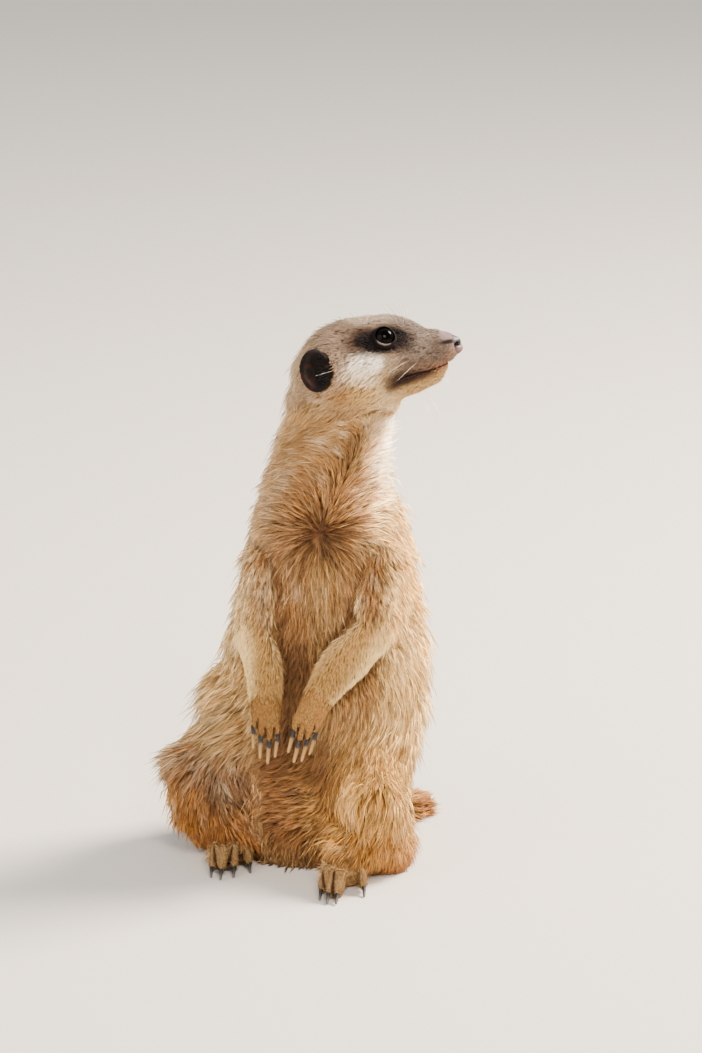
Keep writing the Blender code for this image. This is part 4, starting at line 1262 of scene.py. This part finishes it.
def coat_tree():
    tree = bpy.data.node_groups.new("coat", "GeometryNodeTree")
    for name, kind in COAT_INPUTS.items():
        tree.interface.new_socket(name, in_out="INPUT", socket_type=f"NodeSocket{kind}")
    tree.interface.new_socket("Coat", in_out="OUTPUT", socket_type="NodeSocketGeometry")
    given = add_node(tree, "NodeGroupInput").outputs
    result = add_node(tree, "NodeGroupOutput")

    def read(name, kind="FLOAT"):
        found = add_node(tree, "GeometryNodeInputNamedAttribute", {"Name": name}, data_type=kind)
        return found.outputs["Attribute"]

    def maths(operation, first, second=0.0, third=0.0):
        return node_value(tree, "ShaderNodeMath", {0: first, 1: second, 2: third}, operation=operation)

    def seed_plus(step):
        return node_value(tree, "FunctionNodeIntegerMath", {0: given["Seed"], 1: step}, operation="ADD")

    def chance(low, high, step):
        drawn = add_node(tree, "FunctionNodeRandomValue", {2: low, 3: high, "Seed": seed_plus(step)},
                         data_type="FLOAT")
        return drawn.outputs[1]

    density = maths("MULTIPLY", given["Locks per Square Metre"], read("cover"))
    scatter = add_node(tree, "GeometryNodeDistributePointsOnFaces",
                       {"Mesh": given["Skin"], "Density": density, "Seed": given["Seed"]},
                       distribute_method="RANDOM")
    shade = maths("MULTIPLY_ADD", chance(-0.5, 0.5, 1), given["Unlike"], 0.5)
    shaded = node_value(tree, "GeometryNodeStoreNamedAttribute",
                        {"Geometry": scatter.outputs["Points"], "Name": "shade", "Value": shade},
                        data_type="FLOAT", domain="POINT")
    position = node_value(tree, "GeometryNodeInputPosition")
    waves_per_metre = maths("DIVIDE", 1.0, given["Wave Size"])
    wave = node_value(tree, "ShaderNodeTexNoise",
                      {"Vector": position, "Scale": waves_per_metre, "Detail": 1.5}, noise_dimensions="3D")
    swing = maths("MULTIPLY", maths("SUBTRACT", wave, 0.5), given["Wave"])
    angle = maths("ADD", swing, maths("MULTIPLY", chance(-1.0, 1.0, 2), given["Stray"]))
    normal = scatter.outputs["Normal"]
    turned = node_value(tree, "ShaderNodeVectorRotate",
                        {"Vector": read("stream", "FLOAT_VECTOR"), "Axis": normal, "Angle": angle},
                        rotation_type="AXIS_ANGLE")
    upright = node_value(tree, "FunctionNodeAlignRotationToVector", {"Vector": normal}, axis="Z")
    aligned = node_value(tree, "FunctionNodeAlignRotationToVector", {"Rotation": upright, "Vector": turned},
                         axis="Y", pivot_axis="Z")
    lift_wave = maths("MULTIPLY_ADD", maths("SUBTRACT", wave, 0.5), 0.9, 1.0)
    lift = maths("MULTIPLY", maths("MULTIPLY", read("rise"), lift_wave), chance(0.75, 1.2, 3))
    lift = maths("MULTIPLY", lift, given["Higher"])
    reach = maths("MULTIPLY", maths("MULTIPLY", read("hair_length"), chance(0.72, 1.2, 4)), given["Longer"])
    wide = maths("MULTIPLY", given["Lock Width"], chance(0.8, 1.2, 5))
    size = node_value(tree, "ShaderNodeCombineXYZ", {0: wide, 1: reach, 2: lift})
    locks = node_value(tree, "GeometryNodeCollectionInfo",
                       {"Collection": given["Locks"], "Separate Children": True, "Reset Children": True})
    pick = add_node(tree, "FunctionNodeRandomValue", {4: 0, 5: VARIANTS - 1, "Seed": seed_plus(6)},
                    data_type="INT").outputs[2]
    placed = node_value(tree, "GeometryNodeInstanceOnPoints",
                        {"Points": shaded, "Instance": locks, "Pick Instance": True, "Instance Index": pick,
                         "Rotation": aligned, "Scale": size})
    real = node_value(tree, "GeometryNodeRealizeInstances", {"Geometry": placed})
    small = node_value(tree, "ShaderNodeVectorMath", {0: read("patch", "FLOAT_VECTOR"), "Scale": PATCH},
                       operation="SCALE")
    own_place = node_value(tree, "ShaderNodeVectorMath", {0: read("OFBake", "FLOAT_VECTOR"), 1: small},
                           operation="ADD")
    unwrapped = node_value(tree, "GeometryNodeStoreNamedAttribute",
                           {"Geometry": real, "Name": "OFBake", "Value": own_place},
                           data_type="FLOAT2", domain="CORNER")
    finished = node_value(tree, "GeometryNodeSetMaterial",
                          {"Geometry": unwrapped, "Material": given["Finish"]})
    fill(tree, result, {0: finished})
    return tree


COAT_TREE = coat_tree()
print("coat tree:", len(COAT_TREE.nodes), "nodes")

# %% [markdown]
# ## Finishes
#
# Hair is dyed keratin: a soft broad gloss, darker at the root where locks shade each other, paler at the
# worn tip, and no two hairs quite alike. The skin below is the same colour, darkened as painted shade under
# the coat. Eyes are wet, claws are worn by digging.

# %% Mix the finishes
def finish_named(name):
    made = bpy.data.materials.new(name)
    made.use_nodes = True
    return made, made.node_tree, made.node_tree.nodes["Principled BSDF"]


def attribute(tree, name, output="Fac"):
    return add_node(tree, "ShaderNodeAttribute", attribute_name=name).outputs[output]


def ramp(tree, factor, stops):
    made = add_node(tree, "ShaderNodeValToRGB", {"Fac": factor})
    elements = made.color_ramp.elements
    while len(elements) < len(stops):
        elements.new(0.5)
    for element, (place, hex_colour) in zip(elements, stops):
        element.position = place
        element.color = (*linear(hex_colour), 1)
    return made.outputs["Color"]


def mix_colours(tree, share, first, second, kind="MIX"):
    inputs = {0: share, 6: first, 7: second}
    return add_node(tree, "ShaderNodeMix", inputs, data_type="RGBA", blend_type=kind).outputs[2]


def multiply(tree, first, second, share=1.0):
    return mix_colours(tree, share, first, second, "MULTIPLY")


def fine_noise(tree, scale, detail):
    place = add_node(tree, "ShaderNodeTexCoord").outputs["Object"]
    return node_value(tree, "ShaderNodeTexNoise", {"Vector": place, "Scale": scale, "Detail": detail})


def bump(tree, height, distance, strength=1.0):
    return node_value(tree, "ShaderNodeBump", {"Height": height, "Distance": distance, "Strength": strength})


def hair_finish():
    """Guard hair: grey-brown at the root, full colour along the shaft, bleached at the tip."""
    made, tree, shader = finish_named("guard_hair_keratin")
    along = attribute(tree, "along")
    root_shade = ramp(tree, along, [(0.0, "#A08C7C"), (0.3, "#E2DAD2"), (0.6, "#FFFFFF")])
    own = multiply(tree, attribute(tree, "markings_and_painted_light", "Color"), root_shade)
    bleach = node_value(tree, "ShaderNodeMapRange", {0: along, 1: 0.4, 2: 1.0, 3: 0.0, 4: 0.55})
    pale = node_value(tree, "ShaderNodeHueSaturation", {"Saturation": 0.76, "Value": 1.85, "Color": own})
    worn = mix_colours(tree, bleach, own, pale)
    each = ramp(tree, attribute(tree, "strand"),
                [(0.0, "#8C6A4A"), (0.3, "#D6C4B0"), (0.6, "#FFFFFF"), (1.0, "#FFF8EC")])
    varied = multiply(tree, worn, each, 0.88)
    tuftwise = node_value(tree, "ShaderNodeMapRange", {0: attribute(tree, "shade"), 3: 0.70, 4: 1.88})
    final = node_value(tree, "ShaderNodeHueSaturation",
                       {"Hue": 0.51, "Saturation": 1.04, "Value": tuftwise, "Color": varied})
    fill(tree, shader, {"Base Color": final, "Roughness": 0.55, "Specular IOR Level": 0.22,
                        "Sheen Weight": 0.04, "Sheen Roughness": 0.4})
    return made


def skin_finish():
    """Short underfur and skin: the coat's colour darkened unevenly as painted shade under the coat, with a
    fine nap.
    """
    made, tree, shader = finish_named("short_underfur_on_skin")
    nap = fine_noise(tree, 2200.0, 3.0)
    blotch = fine_noise(tree, 260.0, 4.0)
    # painted shade: the coat's colour darkened under the coat, in blotches
    tone = ramp(tree, blotch, [(0.3, "#C4B6A8"), (0.7, "#EFE6DC")])
    own = multiply(tree, attribute(tree, "markings_and_painted_light", "Color"), tone)
    fill(tree, shader, {"Base Color": own, "Normal": bump(tree, nap, 0.0003, 0.6), "Roughness": 0.8,
                        "Specular IOR Level": 0.15})
    return made


def eye_finish():
    """A wet eye: black pupil, nearly black brown iris with fine rays, black rim."""
    made, tree, shader = finish_named("wet_eye")
    off = attribute(tree, "off_axis")
    rays = fine_noise(tree, 1600.0, 2.0)
    wobble = node_value(tree, "ShaderNodeMath", {0: rays, 1: 0.10, 2: off}, operation="MULTIPLY_ADD")
    iris = ramp(tree, wobble, [(0.0, "#010101"), (0.42, "#020101"), (0.47, "#070402"), (0.66, "#050302"),
                               (0.74, "#020101")])
    fill(tree, shader, {"Base Color": iris, "Roughness": 0.05, "IOR": 1.38, "Specular IOR Level": 0.08})
    return made


def nose_finish():
    """Damp bare skin: grey-mauve on top, pink below, black painted shade in the nostrils, their slits and the
    middle groove, pebbled at about 0.3 mm.
    """
    made, tree, shader = finish_named("damp_nose_leather")
    place = add_node(tree, "ShaderNodeTexCoord").outputs["Object"]
    pebble = add_node(tree, "ShaderNodeTexVoronoi", {"Vector": place, "Scale": 2600.0}).outputs["Distance"]
    skin_tone = ramp(tree, attribute(tree, "lower"), [(0.0, "#453E44"), (0.5, "#62484A"), (1.0, "#80544E")])
    # painted shade: black in the nostrils, slits and groove
    dark = ramp(tree, attribute(tree, "hollow"), [(0.12, "#FFFFFF"), (0.5, "#1A0D0E")])
    fill(tree, shader, {"Base Color": multiply(tree, skin_tone, dark), "Roughness": 0.42,
                        "Specular IOR Level": 0.4, "Normal": bump(tree, pebble, 0.00012, 0.5)})
    return made


def horn_finish(name, stops):
    """Claw horn with long fine grain: dark where it leaves the digit, worn pale towards the tip."""
    made, tree, shader = finish_named(name)
    along = attribute(tree, "along")
    grain = fine_noise(tree, 900.0, 3.0)
    mixed = node_value(tree, "ShaderNodeMath", {0: grain, 1: 0.16, 2: along}, operation="MULTIPLY_ADD")
    fill(tree, shader, {"Base Color": ramp(tree, mixed, stops), "Normal": bump(tree, grain, 0.0001, 0.5),
                        "Roughness": 0.5, "Specular IOR Level": 0.16})
    return made


HAIR, SKIN, EYE, NOSE = hair_finish(), skin_finish(), eye_finish(), nose_finish()
FORE_HORN = horn_finish("worn_fore_claw_horn",
                        [(0.0, "#17181A"), (0.33, "#303338"), (0.39, "#8C6E48"), (1.0, "#B4925E")])
HIND_HORN = horn_finish("hind_claw_horn", [(0.0, "#1C1D20"), (0.6, "#2B2D31"), (1.0, "#5C5850")])
for thing, finish in ((skin, SKIN), (nose, NOSE), *((eye, EYE) for eye in eyes.values())):
    thing.data.materials.clear()
    thing.data.materials.append(finish)
for node, claw in claws.items():
    claw.data.materials.append(FORE_HORN if "fore" in node else HIND_HORN)
print("finishes:", [m.name for m in (HAIR, SKIN, EYE, NOSE, FORE_HORN, HIND_HORN)])

# %% [markdown]
# ## Grow the coat
#
# The coat is grown in pieces, each small enough to handle: a mask says where on the skin a piece grows.
# Every piece ends as a plain mesh.

# %% Grow each piece
LOWEST_HAIR = 0.15  # above the floor


def drop_attributes(mesh, *names):
    for name in names:
        if name in mesh.attributes:
            mesh.attributes.remove(mesh.attributes[name])


def grown(name, cover, locks, per_square_mm, lock_width, longer=1.0, higher=1.0, unlike=1.0,
          stray=0.18, wave=0.8, wave_size=0.009, seed=1):
    """One piece of coat over the part of the skin that the mask covers."""
    drop_attributes(skin.data, "cover")
    add_attribute(skin.data, "cover", np.clip(cover * closeness, 0, 1))
    piece = bpy.data.objects.new(name, skin.data)
    bpy.context.scene.collection.objects.link(piece)
    growth = piece.modifiers.new("coat", "NODES")
    growth.node_group = COAT_TREE
    values = {"Locks": locks, "Finish": HAIR, "Locks per Square Metre": per_square_mm * 1e6,
              "Lock Width": lock_width * MM, "Longer": longer, "Higher": higher, "Unlike": unlike,
              "Stray": stray, "Wave": wave, "Wave Size": wave_size, "Seed": seed}
    for item in COAT_TREE.interface.items_tree:
        if item.in_out == "INPUT" and item.name in values:
            growth[item.identifier] = values[item.name]
    graph = bpy.context.evaluated_depsgraph_get()
    mesh = bpy.data.meshes.new_from_object(piece.evaluated_get(graph))
    piece.modifiers.clear()
    piece.data = mesh
    mesh.name = name
    kept = points_of(mesh)
    kept[:, 2] = np.maximum(kept[:, 2], LOWEST_HAIR)
    set_points(mesh, kept)
    drop_attributes(mesh, "cover", "stream", "hair_length", "rise", "patch")
    print(f"{name}: {len(mesh.polygons)} triangles")
    return piece


rear_share = smoothstep(88, 92, np.abs(facing))
left_share = smoothstep(-1, 1, x - CHEST_MIDDLE[0] + 4)
high_share = smoothstep(-1, 1, z - 118)
NECK, TRUNK, FRONT_HALF, LOW = zone("neck"), zone("trunk"), 1 - rear_share, 1 - high_share
PIECES = [
    ("coat_neck", NECK, SHORT_LOCKS, 1.0, 0.62),
    ("coat_chest", TRUNK * FRONT_HALF * high_share, LONG_LOCKS, 0.62, 0.78),
    ("coat_shoulders", TRUNK * rear_share * high_share, LONG_LOCKS, 0.42, 0.85),
    ("coat_belly_left", TRUNK * FRONT_HALF * LOW * left_share, LONG_LOCKS, 0.60, 0.78),
    ("coat_belly_right", TRUNK * FRONT_HALF * LOW * (1 - left_share), LONG_LOCKS, 0.54, 0.78),
    ("coat_back_left", TRUNK * rear_share * LOW * left_share, LONG_LOCKS, 0.36, 0.85),
    ("coat_back_right", TRUNK * rear_share * LOW * (1 - left_share), LONG_LOCKS, 0.36, 0.85),
    ("coat_haunches", zone("thighs", "shanks"), LONG_LOCKS, 0.62, 0.68),
    ("coat_upper_arms", zone("upper_arms"), LONG_LOCKS, 0.85, 0.6),
    ("coat_forearms", zone("forearms"), SHORT_LOCKS, 1.35, 0.5),
    ("coat_tail", zone("tail"), LONG_LOCKS, 0.8, 0.5),
    ("coat_face", HEAD * (1 - smoothstep(38, 40, back)), SHORT_LOCKS, 1.6, 0.42),
    ("coat_crown", HEAD * smoothstep(38, 40, back), SHORT_LOCKS, 0.95, 0.5),
    ("coat_paws", zone("hands", "feet"), SHORT_LOCKS, 0.95, 0.36),
    ("coat_ears", EARS * (1 - smoothstep(-0.2, 0.2, normals @ AHEAD)), SHORT_LOCKS, 0.7, 0.3),
]
SLEEK = {"unlike": 0.3, "stray": 0.12, "wave": 0.3}
SLEEKEST = {"unlike": 0.12, "stray": 0.06, "wave": 0.12, "higher": 0.75}
CALM = {"wave": 0.5}
MANNERS = {"coat_face": SLEEKEST, "coat_chest": CALM, "coat_haunches": CALM}
coats = [grown(name, cover, locks, per_square_mm, wide, seed=number + 1,
               **MANNERS.get(name, SLEEK if locks is SHORT_LOCKS else {}))
         for number, (name, cover, locks, per_square_mm, wide) in enumerate(PIECES)]
stray_cover = zone("neck", "trunk", "thighs", "shanks") + HEAD * smoothstep(40, 60, back)
coats.append(grown("coat_strays", stray_cover, STRAY_HAIRS, 0.13, 1.0, longer=1.4, higher=1.5, stray=0.35,
                   seed=40))

# %% [markdown]
# ## Whiskers
#
# Feelers grow from the brow, the lip and the chin, a few more hang from the throat, and pale hairs cross
# the ears. Each is one thin closed tube that bends evenly to its tip. A row gives the root in the head's
# axes, the way it leaves (back, out, up), its bend, its length in millimetres and its colour.

# %% Make the whiskers
DARK_HAIR, PALE_HAIR = "#4A3E38", "#FFF6E6"
WHISKERS = [
    (25, 9, 18, (0.1, 0.3, 1.0), (0.5, 0.2, 0), 12, DARK_HAIR),
    (27, 11, 17, (0.3, 0.4, 1.0), (0.5, 0.2, 0), 13, DARK_HAIR),
    (23, 8, 17, (-0.1, 0.2, 1.0), (0.5, 0.3, 0), 11, DARK_HAIR),
    (24, 8, 17, (-0.5, 0.2, 0.9), (0.4, 0.2, 0.2), 9, PALE_HAIR),
    (20.7, 9, 1.2, (0.9, 0.9, -0.1), (0.3, 0, -0.4), 17, DARK_HAIR),
    (25.3, 10, -1.3, (1.0, 0.8, -0.3), (0.3, 0, -0.4), 15, PALE_HAIR),
    (14.9, 8, -0.5, (0.7, 1.0, -0.1), (0.5, 0, -0.4), 18, DARK_HAIR),
    (18, 9, -2.2, (0.8, 0.9, -0.4), (0.4, 0, -0.4), 16, DARK_HAIR),
    (22.2, 9, -3.2, (0.9, 0.8, -0.5), (0.3, 0, -0.3), 14, PALE_HAIR),
    (12, 7, -2.8, (0.5, 1.0, -0.3), (0.5, 0, -0.4), 15, DARK_HAIR),
    (16.6, 8, 2.2, (0.8, 1.0, 0.2), (0.4, 0, -0.4), 16, DARK_HAIR),
    (23, 9, 3.0, (0.9, 0.9, 0.2), (0.3, 0, -0.4), 14, DARK_HAIR),
    (42, 21, -4, (0.8, 0.5, -0.6), (0.2, 0, -0.3), 12, PALE_HAIR),
    (10, 4, -12, (-0.5, 0.3, -0.8), (0.3, 0, -0.3), 7, PALE_HAIR),
    (13, 4, -13, (-0.7, 0.3, -0.5), (0.2, 0, -0.2), 6, PALE_HAIR),
    (22, 3, -16, (-0.6, 0.1, -1.0), (0.2, 0, -0.2), 16, PALE_HAIR),
    (25, 4, -17, (-0.5, 0.2, -1.0), (0.1, 0, -0.2), 14, PALE_HAIR),
    (58.5, 19, -0.5, (1.0, 0.35, -0.1), (0, -0.1, 0), 12.5, PALE_HAIR),
    (62, 19, -6.0, (1.0, 0.45, -0.35), (0, -0.1, 0), 7.5, PALE_HAIR),
    (75.0, 19, -2.5, (1.0, 0.5, -0.1), (0, -0.2, -0.1), 5.5, PALE_HAIR),
    (60, 19, 8.5, (-0.8, 0.5, -0.1), (0, -0.1, -0.1), 5, PALE_HAIR),
]
RINGS, SIDES, WHISKER_RADIUS, WHISKER_ROOTED = 9, 4, 0.085, 0.6
PLAIN_STRAND, PLAIN_SHADE = 0.9, 0.5


def in_body(way):
    """A direction (back, out, up) of the head as one of the body."""
    return -AHEAD * way[0] + LEFT * way[1] + CROWN * way[2]


skin_tree = BVHTree.FromPolygons(points.tolist(), [tuple(p.vertices) for p in skin.data.polygons])
unwrap_of_skin = skin.data.uv_layers["OFBake"].data
rows, faces, along, strand, colours, patches = [], [], [], [], [], []
draw = np.random.default_rng(7)
for root_back, root_out, root_up, way, bend, reach, hex_colour in WHISKERS:
    for side_sign in (1, -1):
        jitter = draw.uniform(-0.06, 0.06, 3)
        way_out = unit((np.array(way) + jitter) * [1, side_sign, 1])
        bend_out = np.array(bend) * [1, side_sign, 1]
        place, _, face_number, _ = skin_tree.find_nearest(from_head(root_back, root_out * side_sign, root_up))
        corner = unwrap_of_skin[skin.data.polygons[face_number].loop_start].uv
        first, curve = in_body(way_out), in_body(bend_out)
        wide = unit(np.cross(first, CROWN + 0.3 * AHEAD))
        thick = np.cross(first, wide)
        base = len(rows)
        for ring in range(RINGS + 1):
            share = ring / RINGS
            uneven = draw.uniform(0.995, 1.005)
            sweep = (first * share + curve * share ** 2 * 0.5) * reach * uneven
            middle = np.array(place) - first * WHISKER_ROOTED + sweep
            radius = WHISKER_RADIUS * (1 - 0.85 * share)
            for k in range(SIDES if ring < RINGS else 1):
                angle = 2 * pi * k / SIDES
                rows.append(middle + (wide * cos(angle) + thick * sin(angle)) * radius * (ring < RINGS))
                along.append(share)
                patches.append((corner[0] + PATCH * k / SIDES, corner[1] + PATCH * share))
        count = len(rows) - base
        strand += [PLAIN_STRAND] * count
        colours += [(*linear(hex_colour), 1)] * count
        faces.append(tuple(base + k for k in reversed(range(SIDES))))
        faces += tube_faces(RINGS, SIDES, base)
        low = base + (RINGS - 1) * SIDES
        faces += [(low + k, low + (k + 1) % SIDES, low + SIDES) for k in range(SIDES)]
whiskers = new_object("coat_whiskers", np.array(rows), faces)
add_attribute(whiskers.data, "along", along)
add_attribute(whiskers.data, "strand", strand)
add_attribute(whiskers.data, "shade", np.full(len(rows), PLAIN_SHADE))
add_attribute(whiskers.data, "markings_and_painted_light", colours, "FLOAT_COLOR")
whisker_map = whiskers.data.uv_layers.new(name="OFBake")
for loop in whiskers.data.loops:
    whisker_map.data[loop.index].uv = patches[loop.vertex_index]
whiskers.data.materials.append(HAIR)
whiskers.data.shade_smooth()
coats.append(whiskers)
print("whiskers:", len(WHISKERS) * 2, "with", len(faces), "faces")
print("coat:", sum(len(piece.data.polygons) for piece in coats), "faces")

# %% [markdown]
# ## Hide the solids and attach the pieces
#
# Everything is one rigid body here. The skin takes the place of all solids of flesh, and eyes, nose and claws
# take the place of theirs: those solids are hidden and every piece is attached to the one body.

# %% Hand the pieces to the frame
drop_attributes(skin.data, "cover", "stream", "hair_length", "rise")
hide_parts(*FLESH)
for side_name, eye in eyes.items():
    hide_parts(f"eye_{side_name}")
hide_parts("nose")
for node, claw in claws.items():
    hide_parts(node)
for piece in (skin, nose, *eyes.values(), *claws.values(), *coats):
    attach(piece, "root")
print("pieces:", 2 + len(eyes) + len(claws) + len(coats))

# %% [markdown]
# ## Floor, light and camera
#
# A plain pale floor, a large soft light high at the back on the animal's left for the bright rim, a broad
# fill from the front and an even pale surround. The camera stands 2.6 m off, 15 degrees above, with a long
# lens.

# %% Set the scene
floor_mesh = bpy.data.meshes.new("floor")
floor_mesh.from_pydata([(-8, -6, 0), (8, -6, 0), (8, 12, 0), (-8, 12, 0)], [], [(0, 1, 2, 3)])
floor = bpy.data.objects.new("floor", floor_mesh)
bpy.context.scene.collection.objects.link(floor)
floor_finish, floor_tree, floor_shader = finish_named("pale_studio_floor")
fill(floor_tree, floor_shader, {"Base Color": (*linear("#D9D3CA"), 1), "Roughness": 0.9})
floor_mesh.materials.append(floor_finish)

AIM = NOSE_MIDDLE + np.array([-47.5, -1.4, -88.3])


def aimed(thing, place, target):
    thing.location = Vector(place) * MM
    thing.rotation_mode = "QUATERNION"
    thing.rotation_quaternion = Vector(np.asarray(target) - np.asarray(place)).to_track_quat("-Z", "Y")
    bpy.context.scene.collection.objects.link(thing)


def lamp(name, place, size, power, hex_colour):
    data = bpy.data.lights.new(name, "AREA")
    data.size, data.energy, data.color = size, power, linear(hex_colour)
    aimed(bpy.data.objects.new(name, data), place, AIM)


lamp("key_from_back_left", (1250, 500, 1350), 0.7, 165, "#FFF0DC")
lamp("fill_front", (300, -1700, 1500), 0.8, 50, "#FFF4E6")
lamp("fill_left", (-1600, -1300, 900), 1.8, 40, "#FFF4E6")
world = bpy.data.worlds.new("pale_surround")
world.use_nodes = True
surround = {"Color": (*linear("#DCE4EE"), 1), "Strength": 0.8}
fill(world.node_tree, world.node_tree.nodes["Background"], surround)
bpy.context.scene.world = world

camera_data = bpy.data.cameras.new("camera")
camera_data.lens, camera_data.sensor_width = 186.9, 36
camera = bpy.data.objects.new("camera", camera_data)
ELEVATION, DISTANCE = radians(15), 2600
aimed(camera, AIM + DISTANCE * np.array([0, -cos(ELEVATION), sin(ELEVATION)]), AIM)
bpy.context.scene.camera = camera

bpy.context.view_layer.update()
